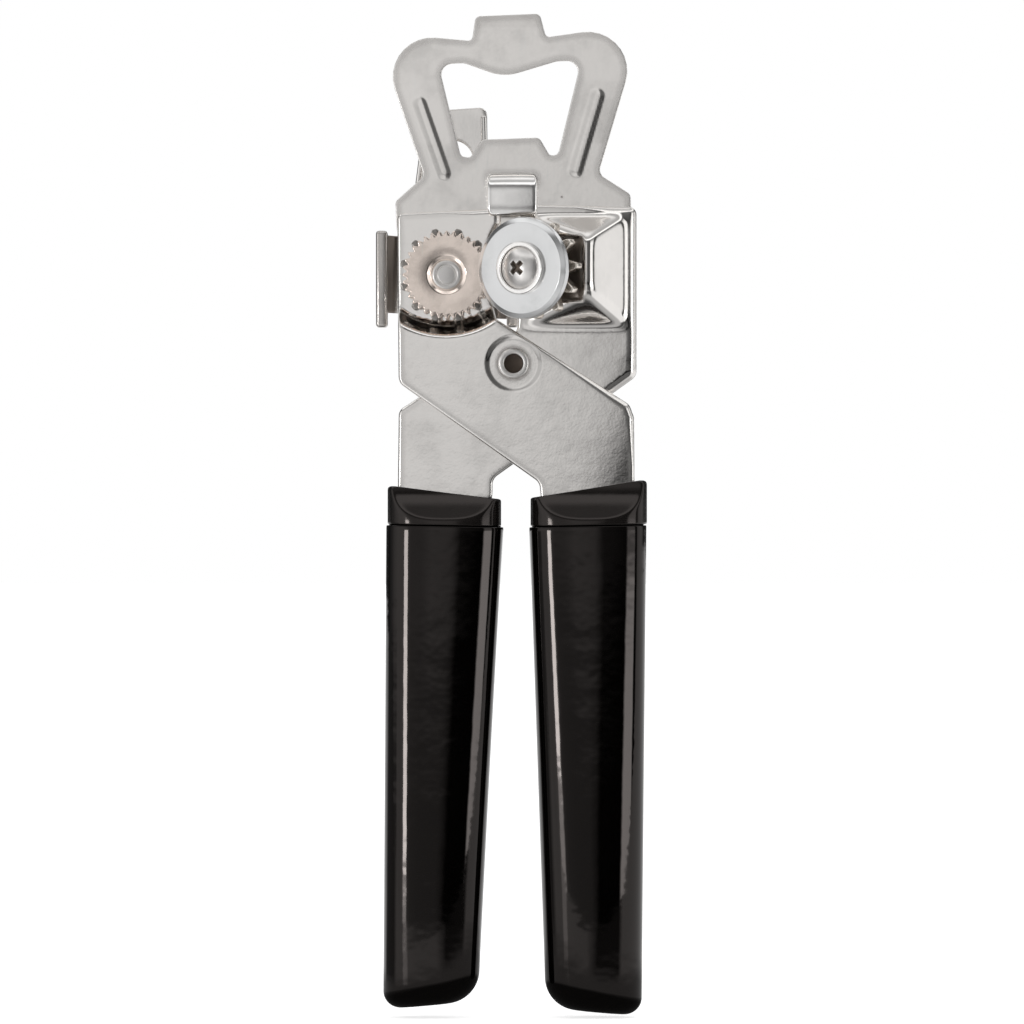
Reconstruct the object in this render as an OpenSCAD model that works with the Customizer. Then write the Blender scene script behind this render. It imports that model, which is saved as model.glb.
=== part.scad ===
// Manual can opener with a bottle opener on its head.
// X runs to the right, Y away from the front, Z up the tool; the pivot rivet is at the origin.

/* [Sheet metal] */
// Thickness of the two lever plates
sheet = 1.5; // [1.2:0.1:1.6]
// Gap between the two lever plates where they cross
plate_gap = 0.2; // [0.1:0.05:0.3]
// How far the head of the front plate is set back behind the rest of it
step_depth = 3.4; // [3.3:0.05:3.5]
// Thickness of the bottle opener blade
opener_sheet = 1.2; // [1:0.1:1.4]
// Thickness of the crank sheet and of the strap
thin_sheet = 1.2; // [1:0.1:1.2]

/* [Feed wheel and crank] */
// Place of the drive shaft to the side of the pivot
shaft_x = -12.7; // [-13:0.1:-12.5]
// Place of the drive shaft above the pivot
shaft_z = 16.8; // [16.5:0.1:17]
// Radius of the drive shaft
shaft_r = 2.5; // [2.3:0.1:2.6]
// Radius over the serrations of the feed wheel
feed_wheel_r = 8.4; // [8:0.1:8.5]
// Number of serrations on the feed wheel
feed_serrations = 36; // [30:1:40]
// Length of the crank's upper wing from the shaft
wing_up = 33; // [31:0.1:33.4]
// Length of the crank's lower wing from the shaft
wing_down = 20.5; // [18:0.1:20.5]
// Width of the crank's wings at their ends
wing_w = 11.8; // [11.6:0.1:13]
// Radius of the hanging hole in the crank
hang_r = 3.8; // [3:0.1:4.2]
// Lean of the crank as it is drawn, in degrees
crank_lean = 3; // [0:0.1:4]

/* [Cutter] */
// Radius of the cutting wheel
cutter_r = 9.7; // [9.3:0.1:9.8]
// Turn of the cutter's axle away from straight ahead, in degrees
cutter_tilt = 30; // [29:0.5:31]
// Number of teeth on each gear
gear_teeth = 12; // [12:1:12]
// Radius over the teeth of the feed gear
feed_gear_r = 9.0; // [8.8:0.1:9.1]
// Radius over the teeth of the cutter gear
cutter_gear_r = 9.5; // [9.2:0.1:9.6]
// Thickness of both gears
gear_t = 2.2; // [2:0.1:2.2]

/* [Pivot] */
// Radius of the blind hole in the rivet's front end
rivet_bore_r = 1.8; // [1.6:0.1:1.8]
// Radius of the rivet's barrel
rivet_r = 2.25; // [2.25:0.05:2.4]
// Running clearance of the turning fits, on the radius
running = 0.05; // [0.02:0.01:0.08]

/* [Grips] */
// Thickness of the plastic grips, front to back
grip_t = 13; // [12:0.5:15]
// Depth below the pivot at which the left grip ends
left_end = 122.3; // [118:0.1:126]
// Depth below the pivot at which the right grip ends
right_end = 123.6; // [118:0.1:126]
// Depth below the pivot of the seam between collar and grip
seam_z = 31.0; // [30.5:0.1:32]

/* [Hidden] */
$fn = 64;

CHROME = [0.77, 0.76, 0.75];
SATIN = [0.74, 0.73, 0.72];
NICKEL = [0.80, 0.76, 0.72];
STEEL = [0.70, 0.70, 0.72];
BLACK = [0.03, 0.03, 0.03];
DARK = [0.16, 0.15, 0.15];

// Depths of the faces, front ones first
front_y = -plate_gap / 2 - sheet;
back_y = plate_gap / 2;
head_y = front_y + step_depth;
head_back_y = head_y + sheet;
opener_y = head_back_y;
opener_back_y = opener_y + opener_sheet;
flange_y = head_back_y + 2.5;
crank_y = 14;
crank_back_y = crank_y + thin_sheet;

// Conical step between the head and the rest of the front plate
step_centre = [-12.9, 22.4];
step_inner_r = 14.9;
step_outer_r = 17.1;
step_slope = atan2(step_depth, step_outer_r - step_inner_r);
step_shift = sheet * tan(step_slope / 2);

// Feed train, front to back
feed_wheel_t = 1.8;
feed_washer_t = 0.35;
feed_gear_y = head_y - feed_washer_t - running - gear_t;
feed_wheel_y = feed_gear_y - feed_wheel_t;
feed_dimple_r = 3.7;
feed_dimple_t = 0.5;
shaft_end_r = 2.75;
shaft_end_t = 0.6;
shaft_end_y = feed_wheel_y + feed_dimple_t - shaft_end_t;
bushing_r = 3.6;
bushing_flange_r = 5.6;
bushing_end_y = 12.8;

// Cutter, along its own axle from the middle of the cutting wheel
cutter_place = [1.75, -8.45, 17.9];
cutter_t = 1.4;
cutter_bevel = 1.1;
gear_back = 5.0;
gear_front_z = -gear_back + gear_t / 2;
gear_back_z = -gear_back - gear_t / 2;
hub_r = 3.0;
hub_flange_r = 5.0;
hub_top_z = 1.6;
screw_head_r = 4.0;
screw_r = 1.5;
sleeve_r = 2.1;
cutter_gear_phase = 3;

// Wedge on the back plate that carries the cutter, as [x, z] on its base and its ridge
wedge_x = [2.0, 14.2, 21.4];
wedge_z = [7.1, 13, 23.5, 28.2];
wedge_h = (wedge_x[1] - wedge_x[0]) * tan(cutter_tilt);
wedge_inset = 1.5 * sheet;
wedge_wall = wedge_inset * cos(cutter_tilt);
wedge_face_z = (cutter_place[0] - wedge_x[0]) * sin(cutter_tilt)
    + (cutter_place[1] - back_y) * cos(cutter_tilt);

// Pivot rivet, its head set in a coined recess of the front plate
recess_r = 4.7;
recess_rim_r = 5.3;
recess_t = 0.45;
rivet_head_r = 2.9;
rivet_head_t = 0.85;
rivet_back_r = 4.0;
pivot_washer_t = 0.45;
rivet_front_y = front_y + recess_t - rivet_head_t;
rivet_back_y = back_y + sheet + running + pivot_washer_t;
rivet_bore_depth = 3.6;

// ---- Outlines ----------------------------------------------------------

function unit(v) = v / norm(v);
function flat(p) = [p[0], p[1]];

// Arc of radius r that rounds the corner b between a and c, as n + 1 points
function corner_arc(a, b, c, r, n) =
    let (
        u = unit(a - b),
        v = unit(c - b),
        half = acos(u * v) / 2,
        centre = b + unit(u + v) * r / sin(half),
        start = b + u * r / tan(half) - centre,
        first = atan2(start[1], start[0]),
        sweep = (cross(u, v) < 0 ? 1 : -1) * (180 - 2 * half)
    )
    [for (i = [0:n]) centre + r * [cos(first + sweep * i / n), sin(first + sweep * i / n)]];

// Closed outline from [x, z, corner radius] points
function rounded(points, n = 7) =
    let (m = len(points))
    [for (i = [0:m - 1])
        let (a = points[(i + m - 1) % m], b = points[i], c = points[(i + 1) % m])
        each (b[2] > 0 ? corner_arc(flat(a), flat(b), flat(c), b[2], n) : [flat(b)])];

// Outline of a spur wheel with straight-sided teeth, one tooth at the angle phase
function toothed(teeth, tip_r, root_r, tip_w, root_w, phase) =
    [for (i = [0:teeth - 1])
        let (
            middle = phase + 360 * i / teeth,
            tip = asin(tip_w / 2 / tip_r),
            root = asin(root_w / 2 / root_r)
        )
        each [
            root_r * [cos(middle - root), sin(middle - root)],
            tip_r * [cos(middle - tip), sin(middle - tip)],
            tip_r * [cos(middle + tip), sin(middle + tip)],
            root_r * [cos(middle + root), sin(middle + root)]
        ]];

// Plate standing in the XZ plane, its front face at the depth y
module upright(y, thickness) {
    translate([0, y + thickness, 0]) rotate([90, 0, 0]) linear_extrude(thickness) children();
}

// Round bar along Y, its front end at the depth y
module bar(x, z, y, length, r) {
    translate([x, y + length, z]) rotate([90, 0, 0]) cylinder(h = length, r = r);
}

// Ring along Y
module ring_y(x, z, y, length, r_out, r_in) {
    difference() {
        bar(x, z, y, length, r_out);
        bar(x, z, y - 1, length + 2, r_in);
    }
}

// Frame of the cutter's axle: +Z here points out of the front of the cutting wheel
module on_axle() {
    translate(cutter_place) rotate([90, 0, -cutter_tilt]) children();
}

// Ring on the cutter's axle from z0 to z1
module ring_z(z0, z1, r_out, r_in) {
    translate([0, 0, z0]) difference() {
        cylinder(h = z1 - z0, r = r_out);
        translate([0, 0, -1]) cylinder(h = z1 - z0 + 2, r = r_in);
    }
}

// ---- Lever plates ------------------------------------------------------

// Foot of each plate, where its collar grips it
foot_z = -26;
front_foot_x = [5.2, 23.0];
back_foot_x = [-22.0, -4.0];

// Tang inside a grip, a flat strip that narrows towards its end, on the right (side = 1)
// or the left (side = -1) and grown by the play g
tang_end = 100;
function tang(side, g = 0) = [
    [side * (19.6 + g), foot_z + 2, 0], [side * (19.0 + g), -tang_end - g, 2],
    [side * (11.4 - g), -tang_end - g, 2], [side * (6.6 - g), foot_z + 2, 0]
];

front_outline = [
    [-22.1, 28.6, 1.2], [-2.4, 29.6, 0.8], [-2.4, 26.6, 1.5], [-4.4, 22.5, 4], [-4.4, 13, 4],
    [-3.2, 8.4, 1], [22.0, -7.8, 2], [22.9, -10.2, 2], [front_foot_x[1], foot_z, 1],
    [front_foot_x[0], foot_z, 1], [4.9, -22.6, 2.2], [-21.8, -3.7, 2.2]
];

back_edge_x = 23.4;
back_outline = [
    [0.8, 30.2, 0.8], [back_edge_x, 29.8, 1.5], [back_edge_x, -2.4, 2.2], [-3.9, -21.9, 2.2],
    [back_foot_x[1], foot_z, 1], [back_foot_x[0], foot_z, 1], [-21.8, -8.9, 2], [0.8, 5.8, 3]
];

// Cross-section of the stepped sheet about the step's axis, as [radius, depth]
module step_profile() {
    polygon([
        [0, head_y], [step_inner_r, head_y], [step_outer_r, front_y], [70, front_y],
        [70, front_y + sheet], [step_outer_r + step_shift, front_y + sheet],
        [step_inner_r + step_shift, head_back_y], [0, head_back_y]
    ]);
}

module front_plate() {
    color(CHROME) difference() {
        union() {
            intersection() {
                upright(-20, 40) polygon(rounded(front_outline));
                translate([step_centre[0], 0, step_centre[1]])
                    rotate([-90, 0, 0]) rotate_extrude($fn = 128) step_profile();
            }
            upright(front_y, sheet) polygon(rounded(tang(1)));
            // edge of the head, bent back beside the shaft
            translate([-22.1, head_back_y - 0.2, 9.5]) cube([thin_sheet, flange_y - head_back_y + 0.2, 14]);
        }
        // recess round the rivet's head
        translate([0, front_y + recess_t, 0]) rotate([90, 0, 0])
            cylinder(h = 2 * recess_t, r1 = recess_r, r2 = 2 * recess_rim_r - recess_r);
        bar(0, 0, -20, 40, rivet_r);
        bar(shaft_x, shaft_z, -20, 40, bushing_r);
    }
}

// Solid wedge that the cutter's seat is drawn to
module wedge() {
    intersection() {
        translate([0, 0, wedge_z[0] - 1]) linear_extrude(wedge_z[3] - wedge_z[0] + 2)
            polygon([[wedge_x[0], back_y], [wedge_x[1], back_y - wedge_h], [wedge_x[2], back_y]]);
        rotate([90, 0, 90]) linear_extrude(wedge_x[2] + 1)
            polygon([
                [back_y, wedge_z[0]], [back_y - wedge_h, wedge_z[1]],
                [back_y - wedge_h, wedge_z[2]], [back_y, wedge_z[3]]
            ]);
    }
}

// Pocket pressed into the wedge's left face behind the gear's teeth
module gear_pocket() {
    pocket = [8.6, 12.0, 12.9, 23.9];
    depth = 0.9;
    difference() {
        translate([pocket[0], -12, pocket[1]]) cube([pocket[2] - pocket[0], 20, pocket[3] - pocket[1]]);
        translate([0, depth, 0]) wedge();
        translate([0, back_y, 0]) cube([40, 40, 40]);
    }
}

module back_plate() {
    color(CHROME) difference() {
        union() {
            upright(back_y, sheet) polygon(rounded(back_outline));
            upright(back_y, sheet) polygon(rounded(tang(-1)));
            wedge();
            // right edge, bent back
            translate([back_edge_x - sheet, back_y + sheet - 0.2, 1]) cube([sheet, 3, 25]);
        }
        translate([0, wedge_inset, 0]) wedge();
        gear_pocket();
        on_axle() translate([0, 0, -16]) cylinder(h = 16, r = screw_r + running);
        bar(0, 0, -20, 40, rivet_r + running);
    }
}

// ---- Bottle opener -----------------------------------------------------

opener_outline = [
    [21.4, 27.2, 0.8], [22.4, 29.0, 0.6], [22.3, 32.3, 1.4], [16.2, 36.2, 1.6], [24.7, 64.8, 7.5],
    [6.2, 62.2, 0.9], [5.0, 66.7, 1.1], [-7.2, 66.2, 1.1], [-7.9, 61.5, 0.9],
    [-26.3, 63.2, 7.5], [-17.0, 35.8, 1.6], [-22.5, 30.9, 1.4],
    [-22.2, 24.8, 1], [4.0, 24.8, 1], [5.5, 27.2, 1]
];

opener_window = [
    [12.9, 57.8, 2.1], [8.2, 57.6, 4], [-1.8, 54.6, 9], [-9.4, 57.3, 3], [-14.3, 57.1, 2.2],
    [-10.0, 39.5, 1.1], [-8.2, 39.3, 0.9], [-6.0, 42.7, 1.2], [4.9, 43.1, 1.2], [6.9, 39.7, 0.9],
    [8.5, 39.8, 1.1]
];

strap_x = [-5.0, 4.5];
strap_z = [28.2, 36.2];

// Pressed bead between two [x, z] points: a round-ended bar, sunk until its front stands out of the blade
module bead(a, b) {
    r = 2.4;
    sunk = 2.05;
    steps = 6;
    along = b - a;
    translate([a[0], opener_y + sunk, a[1]]) rotate([0, atan2(along[0], along[1]), 0])
        rotate_extrude() polygon(concat(
            [for (i = [0:steps]) r * [sin(90 * i / steps), -cos(90 * i / steps)]],
            [for (i = [steps:-1:0]) [r * sin(90 * i / steps), norm(along) + r * cos(90 * i / steps)]]
        ));
}

module bottle_opener() {
    color(SATIN) difference() {
        union() {
            upright(opener_y, opener_sheet) polygon(rounded(opener_outline));
            intersection() {
                union() {
                    bead([-18.0, 49.6], [-13.4, 36.4]);
                    bead([15.9, 51.2], [11.7, 36.9]);
                }
                translate([-40, opener_y - 5, 0]) cube([80, 5 + opener_sheet / 2, 80]);
            }
        }
        upright(opener_y - 1, opener_sheet + 2) polygon(rounded(opener_window));
        // slot for the strap
        translate([strap_x[0] - 0.3, opener_y - 1, strap_z[1] - thin_sheet - 0.8])
            cube([strap_x[1] - strap_x[0] + 0.6, opener_sheet + 2, thin_sheet + 1]);
    }
}

module opener_strap() {
    leg_y = front_y + sheet - thin_sheet;
    tail_y = opener_back_y;
    color(CHROME) intersection() {
        rotate([90, 0, 90]) translate([0, 0, strap_x[0]]) linear_extrude(strap_x[1] - strap_x[0])
            polygon(rounded([
                [leg_y, strap_z[0], 0], [leg_y, strap_z[1], 1.8],
                [tail_y + thin_sheet, strap_z[1], 1.8], [tail_y + thin_sheet, strap_z[0], 0],
                [tail_y, strap_z[0], 0], [tail_y, strap_z[1] - thin_sheet, 0.6],
                [leg_y + thin_sheet, strap_z[1] - thin_sheet, 0.6], [leg_y + thin_sheet, strap_z[0], 0]
            ]));
        upright(-10, 30) polygon(rounded([
            [strap_x[0], strap_z[0], 1.2], [strap_x[1], strap_z[0], 1.2],
            [strap_x[1], strap_z[1] + 1, 0], [strap_x[0], strap_z[1] + 1, 0]
        ]));
    }
}

// ---- Pivot -------------------------------------------------------------

module pivot_rivet() {
    color(NICKEL) difference() {
        union() {
            bar(0, 0, rivet_front_y, rivet_head_t, rivet_head_r);
            bar(0, 0, rivet_front_y, rivet_back_y - rivet_front_y + 0.5, rivet_r);
            translate([0, rivet_back_y, 0]) rotate([-90, 0, 0])
                cylinder(h = 1, r1 = rivet_back_r, r2 = rivet_back_r - 0.9);
        }
        bar(0, 0, rivet_front_y - 1, rivet_bore_depth + 1, rivet_bore_r);
    }
}

module pivot_washer() {
    color(NICKEL) ring_y(0, 0, rivet_back_y - pivot_washer_t, pivot_washer_t, 5, rivet_r);
}

// ---- Feed train --------------------------------------------------------

module feed_wheel() {
    color(NICKEL) difference() {
        translate([shaft_x, 0, shaft_z]) upright(feed_wheel_y, feed_wheel_t)
            polygon(toothed(feed_serrations, feed_wheel_r, feed_wheel_r - 0.75, 0.3, 1.1, 0));
        bar(shaft_x, shaft_z, -20, 40, shaft_r);
        // dimple in which the shaft's end is spread
        translate([shaft_x, feed_wheel_y + feed_dimple_t, shaft_z]) rotate([90, 0, 0])
            cylinder(h = 2 * feed_dimple_t, r1 = shaft_end_r + 0.15, r2 = 2 * feed_dimple_r - shaft_end_r - 0.15);
    }
}

module feed_gear() {
    color(NICKEL) difference() {
        translate([shaft_x, 0, shaft_z]) upright(feed_gear_y, gear_t)
            polygon(toothed(gear_teeth, feed_gear_r, 6.6, 1.0, 2.6, 180 / gear_teeth));
        bar(shaft_x, shaft_z, -20, 40, shaft_r);
    }
}

module drive_shaft() {
    color(STEEL) difference() {
        union() {
            bar(shaft_x, shaft_z, shaft_end_y, crank_back_y - shaft_end_y + 0.2, shaft_r);
            bar(shaft_x, shaft_z, shaft_end_y, shaft_end_t, shaft_end_r);
            translate([shaft_x, crank_back_y, shaft_z]) rotate([-90, 0, 0])
                cylinder(h = 1.5, r1 = 4.2, r2 = 2.8);
        }
        ring_y(shaft_x, shaft_z, shaft_end_y - 1, 1.3, 2.0, 1.7);
    }
}

module shaft_bushing() {
    color(STEEL) difference() {
        union() {
            bar(shaft_x, shaft_z, head_y, bushing_end_y - head_y, bushing_r);
            bar(shaft_x, shaft_z, head_back_y, 1.2, bushing_flange_r);
        }
        bar(shaft_x, shaft_z, -20, 60, shaft_r + running);
    }
}

module feed_washer() {
    color(NICKEL) ring_y(shaft_x, shaft_z, head_y - feed_washer_t, feed_washer_t, 5.2, shaft_r + running);
}

module crank_washer() {
    color(NICKEL) ring_y(shaft_x, shaft_z, bushing_end_y + 0.1, crank_y - bushing_end_y - 0.1, 6, shaft_r);
}

// Folded sheet-metal key with two wings that narrow to their ends; its own axes run through the shaft
module crank() {
    end_half = wing_w / 2;
    taper = 0.075;
    root_half = end_half + taper * 23;
    end_skew = 0.7;
    hub_half_x = 13.6;
    hub_half_z = 7.4;
    tab_t = 2.2;
    tab_z = [-9.7, 8.8];
    tab_y = 9.5;
    lip_y = 11.5;
    lip_turn = atan(taper);
    color(CHROME) translate([shaft_x, 0, shaft_z]) rotate([0, crank_lean, 0]) difference() {
        union() {
            upright(crank_y, thin_sheet) polygon(rounded([
                [end_half, wing_up, 1.5], [-end_half, wing_up - 2 * end_skew, 1.5], [-root_half, hub_half_z, 2],
                [-hub_half_x + 1, hub_half_z, 0], [-hub_half_x + 1, -hub_half_z, 0],
                [-root_half, -hub_half_z, 2], [-end_half - taper, -wing_down, 3], [end_half + taper, -wing_down, 3],
                [root_half, -hub_half_z, 2], [hub_half_x - 1, -hub_half_z, 0],
                [hub_half_x - 1, hub_half_z, 0], [root_half, hub_half_z, 2]
            ]));
            for (side = [-1, 1]) {
                // hemmed tab beside the hub
                rotate([0, -crank_lean, 0])
                    translate([side * (hub_half_x - tab_t / 2) - tab_t / 2, tab_y, tab_z[0]])
                        cube([tab_t, crank_back_y - tab_y, tab_z[1] - tab_z[0]]);
                // lips along the edges of the two wings, up to the rounding of their corners
                translate([side * end_half, lip_y, wing_up - end_skew]) rotate([0, -side * lip_turn, 0])
                    translate([side > 0 ? -thin_sheet : 0, 0, -19.5])
                        cube([thin_sheet, crank_y - lip_y + 0.2, side > 0 ? 18.5 : 17.5]);
                translate([side * (root_half - 1) - thin_sheet / 2, lip_y, -wing_down + 3.5])
                    cube([thin_sheet, crank_y - lip_y + 0.2, 7]);
            }
        }
        bar(0, 0, -20, 60, shaft_r);
        bar(0, 22.4, -20, 60, hang_r);
    }
}

// ---- Cutter ------------------------------------------------------------

module cutting_wheel() {
    back = -cutter_t / 2;
    front = cutter_t / 2;
    color(STEEL) on_axle() rotate_extrude($fn = 96) polygon([
        [hub_r, back], [cutter_r, back], [cutter_r, back + 0.25], [cutter_r - 0.2, 0.22],
        [cutter_r - cutter_bevel, front], [hub_r, front]
    ]);
}

module cutter_gear() {
    color(NICKEL) on_axle() translate([0, 0, gear_back_z]) difference() {
        linear_extrude(gear_t)
            polygon(toothed(gear_teeth, cutter_gear_r, 6.8, 0.9, 2.6, cutter_gear_phase));
        translate([0, 0, -1]) cylinder(h = gear_t + 2, r = hub_r);
    }
}

module cutter_hub() {
    color(NICKEL) on_axle() difference() {
        union() {
            translate([0, 0, gear_back_z]) cylinder(h = cutter_t / 2 - gear_back_z, r = hub_r);
            translate([0, 0, cutter_t / 2]) cylinder(h = hub_top_z - cutter_t / 2, r = hub_flange_r);
        }
        translate([0, 0, gear_back_z - 1]) cylinder(h = 20, r = sleeve_r + running);
        translate([0, 0, 0.95]) cylinder(h = 5, r = screw_head_r + 0.07);
    }
}

module cutter_spacer() {
    color(STEEL) on_axle() ring_z(gear_front_z, -cutter_t / 2, 4.3, hub_r);
}

module cutter_sleeve() {
    color(STEEL) on_axle() {
        ring_z(wedge_face_z, 0.97, sleeve_r, screw_r);
        ring_z(wedge_face_z, wedge_face_z + 0.5, 3.6, sleeve_r);
    }
}

module cutter_wave_washer() {
    color(STEEL) on_axle() ring_z(wedge_face_z + 0.5, gear_back_z - running, 4.6, sleeve_r);
}

module cutter_screw() {
    head_z = 1.0;
    dome_h = 1.7;
    dome_r = (screw_head_r * screw_head_r + dome_h * dome_h) / (2 * dome_h);
    color(NICKEL) on_axle() difference() {
        union() {
            translate([0, 0, head_z]) intersection() {
                cylinder(h = dome_h, r = screw_head_r);
                translate([0, 0, dome_h - dome_r]) sphere(dome_r, $fn = 96);
            }
            translate([0, 0, wedge_face_z - 5]) cylinder(h = head_z + 5 - wedge_face_z, r = screw_r);
        }
        for (turn = [45, 135]) rotate([0, 0, turn]) translate([-1.45, -0.4, head_z + dome_h - 1.1]) cube([2.9, 0.8, 2]);
    }
}

module cutter_nut() {
    nut_z = wedge_face_z - wedge_wall - 2.3 - running;
    color(STEEL) on_axle() translate([0, 0, nut_z]) difference() {
        cylinder(h = 2.3, r = 3.1, $fn = 6);
        translate([0, 0, -1]) cylinder(h = 5, r = screw_r);
    }
}

// ---- Grips -------------------------------------------------------------

// The grips' edges and rings are worked out on the right-hand side, at depths d below the pivot;
// the left ones are mirrored
grip_sides = 48;
grip_steps = 12;
seam_gap = 0.1;
seam_drop = -0.4;
end_drop = 0.8;
round_in = 6;
round_out = 3.2;
round_face = 3.6;
slot_play = 0.15;

function blend(a, b, t) = a + (b - a) * t;
function inner_edge(d, left) =
    let (t = (d - seam_z) / (right_end - seam_z))
    left ? 1.9 + 5.45 * t - 0.5 * t * t : 3.0 + 3.2 * t;
function outer_edge(d, left) =
    let (t = (d - seam_z) / (right_end - seam_z))
    left ? 24.15 + 0.6 * t : 25.25 - 0.9 * t;

// Point of a rounded oblong of half width a and half thickness b
function oblong(angle, a, b) =
    let (c = cos(angle), s = sin(angle), power = 0.72)
    [a * sign(c) * pow(abs(c), power), b * sign(s) * pow(abs(s), power)];

// Ring of half thickness b between the points inner and outer, each [x, depth]
function grip_ring(inner, outer, b) =
    let (middle = (inner + outer) / 2, half = (outer[0] - inner[0]) / 2, fall = (outer[1] - inner[1]) / 2)
    [for (i = [0:grip_sides - 1])
        let (p = oblong(360 * i / grip_sides, half, b))
        [middle[0] + p[0], p[1], -middle[1] - fall * p[0] / half]];

// Closed skin over rings of equal length, first ring on top
module skin(rings) {
    n = len(rings[0]);
    m = len(rings);
    faces = concat(
        [[for (i = [0:n - 1]) i]],
        [for (k = [0:m - 2], i = [0:n - 1])
            [k * n + i, (k + 1) * n + i, (k + 1) * n + (i + 1) % n, k * n + (i + 1) % n]],
        [[for (i = [n - 1:-1:0]) (m - 1) * n + i]]
    );
    polyhedron(points = [for (ring = rings) each ring], faces = faces, convexity = 4);
}

// Grip from its seam to its rounded, slanted end
module grip_body(end, left) {
    inner_end = end - end_drop;
    body = [for (k = [0:grip_steps])
        let (
            t = k / grip_steps,
            inner_d = blend(seam_z + seam_gap, inner_end - round_in, t),
            outer_d = blend(seam_z + seam_gap + seam_drop, end - round_out, t)
        )
        grip_ring([inner_edge(inner_d, left), inner_d], [outer_edge(outer_d, left), outer_d], grip_t / 2)];
    cap = [for (k = [1:7])
        let (
            a = 90 * k / 7,
            inner_d = inner_end - round_in * (1 - sin(a)),
            outer_d = end - round_out * (1 - sin(a))
        )
        grip_ring(
            [inner_edge(inner_d, left) + round_in * (1 - cos(a)), inner_d],
            [outer_edge(outer_d, left) - round_out * (1 - cos(a)), outer_d],
            grip_t / 2 - round_face * (1 - cos(a))
        )];
    skin(concat(body, cap));
}

// Half thickness of a collar's shoulder at the depth d: thin at the top, full above the seam
shoulder_top = 23;
function shoulder(d) = 3.4 + 3.2 * pow(max(0, d - shoulder_top) / (seam_z - 1.2 - shoulder_top), 1.5);

// Collar from x[0] to x[1], thinned towards its plate at the top; its top edge slants from
// the depth top[0] to top[1]
module collar_body(x, top) {
    steps = 8;
    skin([for (k = [0:steps])
        let (
            t = k / steps,
            rim = k == 0 ? 0.7 : 0,
            inner = [x[0] + rim, blend(top[0], seam_z - seam_gap, t)],
            outer = [x[1] - rim, blend(top[1], seam_z - seam_gap + seam_drop, t)]
        )
        [for (p = grip_ring(inner, outer, grip_t / 2 - rim))
            [p[0], max(-shoulder(-p[2]), min(shoulder(-p[2]), p[1])), p[2]]]]);
}

// Slot in a collar for its plate's foot, from x[0] to x[1], and for the tang below it
module collar_slot(x, y, side) {
    upright(y - slot_play, sheet + 2 * slot_play) {
        translate([x[0] - slot_play, foot_z - slot_play]) square([x[1] - x[0] + 2 * slot_play, 8]);
        polygon(rounded(tang(side, slot_play)));
    }
}

module right_grip() {
    color(BLACK) difference() {
        grip_body(right_end, false);
        upright(front_y - slot_play, sheet + 2 * slot_play) polygon(rounded(tang(1, slot_play)));
    }
}

module left_grip() {
    color(BLACK) difference() {
        mirror([1, 0, 0]) grip_body(left_end, true);
        upright(back_y - slot_play, sheet + 2 * slot_play) polygon(rounded(tang(-1, slot_play)));
    }
}

module right_collar() {
    color(DARK) difference() {
        collar_body([3.25, 25.35], [25.4, 22.2]);
        collar_slot(front_foot_x, front_y, 1);
    }
}

module left_collar() {
    color(DARK) difference() {
        mirror([1, 0, 0]) collar_body([2.35, 23.9], [25.7, 23.3]);
        collar_slot(back_foot_x, back_y, -1);
    }
}

front_plate();
back_plate();
bottle_opener();
opener_strap();
pivot_rivet();
pivot_washer();
feed_wheel();
feed_gear();
drive_shaft();
shaft_bushing();
feed_washer();
crank_washer();
crank();
cutting_wheel();
cutter_gear();
cutter_hub();
cutter_spacer();
cutter_sleeve();
cutter_screw();
cutter_wave_washer();
cutter_nut();
left_collar();
left_grip();
right_collar();
right_grip();
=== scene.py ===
# %% [markdown]
# # A hand can opener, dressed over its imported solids
# The tool is two pressed-steel levers on one rivet, a feed wheel and a cutting wheel that are
# geared together, a folded crank, a bottle opener and two plastic grips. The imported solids
# already have every part at its true place and size. What they lack is what light finds first:
# rolled edges, soft presses, fillets and surface finish. Each visible part is therefore built
# again here as a finer surface in the same frame and put in place of its solid.

# %% Load the solids and keep their box
import bpy
import numpy as np
from mathutils.geometry import delaunay_2d_cdt
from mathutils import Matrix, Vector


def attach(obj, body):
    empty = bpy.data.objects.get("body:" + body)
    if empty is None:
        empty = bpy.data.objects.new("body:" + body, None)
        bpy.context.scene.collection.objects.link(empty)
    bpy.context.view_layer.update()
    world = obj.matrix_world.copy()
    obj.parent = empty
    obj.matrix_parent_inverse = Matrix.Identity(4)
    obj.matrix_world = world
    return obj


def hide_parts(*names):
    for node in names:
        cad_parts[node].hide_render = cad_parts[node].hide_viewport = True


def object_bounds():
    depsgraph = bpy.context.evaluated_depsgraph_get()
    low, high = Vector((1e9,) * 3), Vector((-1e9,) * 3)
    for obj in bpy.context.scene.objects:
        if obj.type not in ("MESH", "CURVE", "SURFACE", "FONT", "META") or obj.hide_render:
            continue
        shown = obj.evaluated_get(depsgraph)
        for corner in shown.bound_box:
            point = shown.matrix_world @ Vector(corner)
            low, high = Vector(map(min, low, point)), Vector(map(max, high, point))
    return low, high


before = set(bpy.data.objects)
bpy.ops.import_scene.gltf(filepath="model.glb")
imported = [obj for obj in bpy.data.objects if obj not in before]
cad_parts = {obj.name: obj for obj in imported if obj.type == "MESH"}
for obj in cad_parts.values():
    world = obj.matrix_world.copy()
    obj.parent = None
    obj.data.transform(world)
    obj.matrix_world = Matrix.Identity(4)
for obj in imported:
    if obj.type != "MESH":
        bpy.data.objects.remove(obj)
solid_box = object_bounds()

# %% [markdown]
# ## Camera
# Through a long lens from far away, near and far parts keep the same size. An orthographic camera
# does that too, but then a flat plate mirrors one single point of the light and loses its soft
# change of tone. The camera looks along +Y, straight at the front. Its focal length follows from
# the distance and the width that it should see.

# %% Camera
MM = 0.001
camera_distance = 1.5
seen_width = 0.19456


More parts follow.
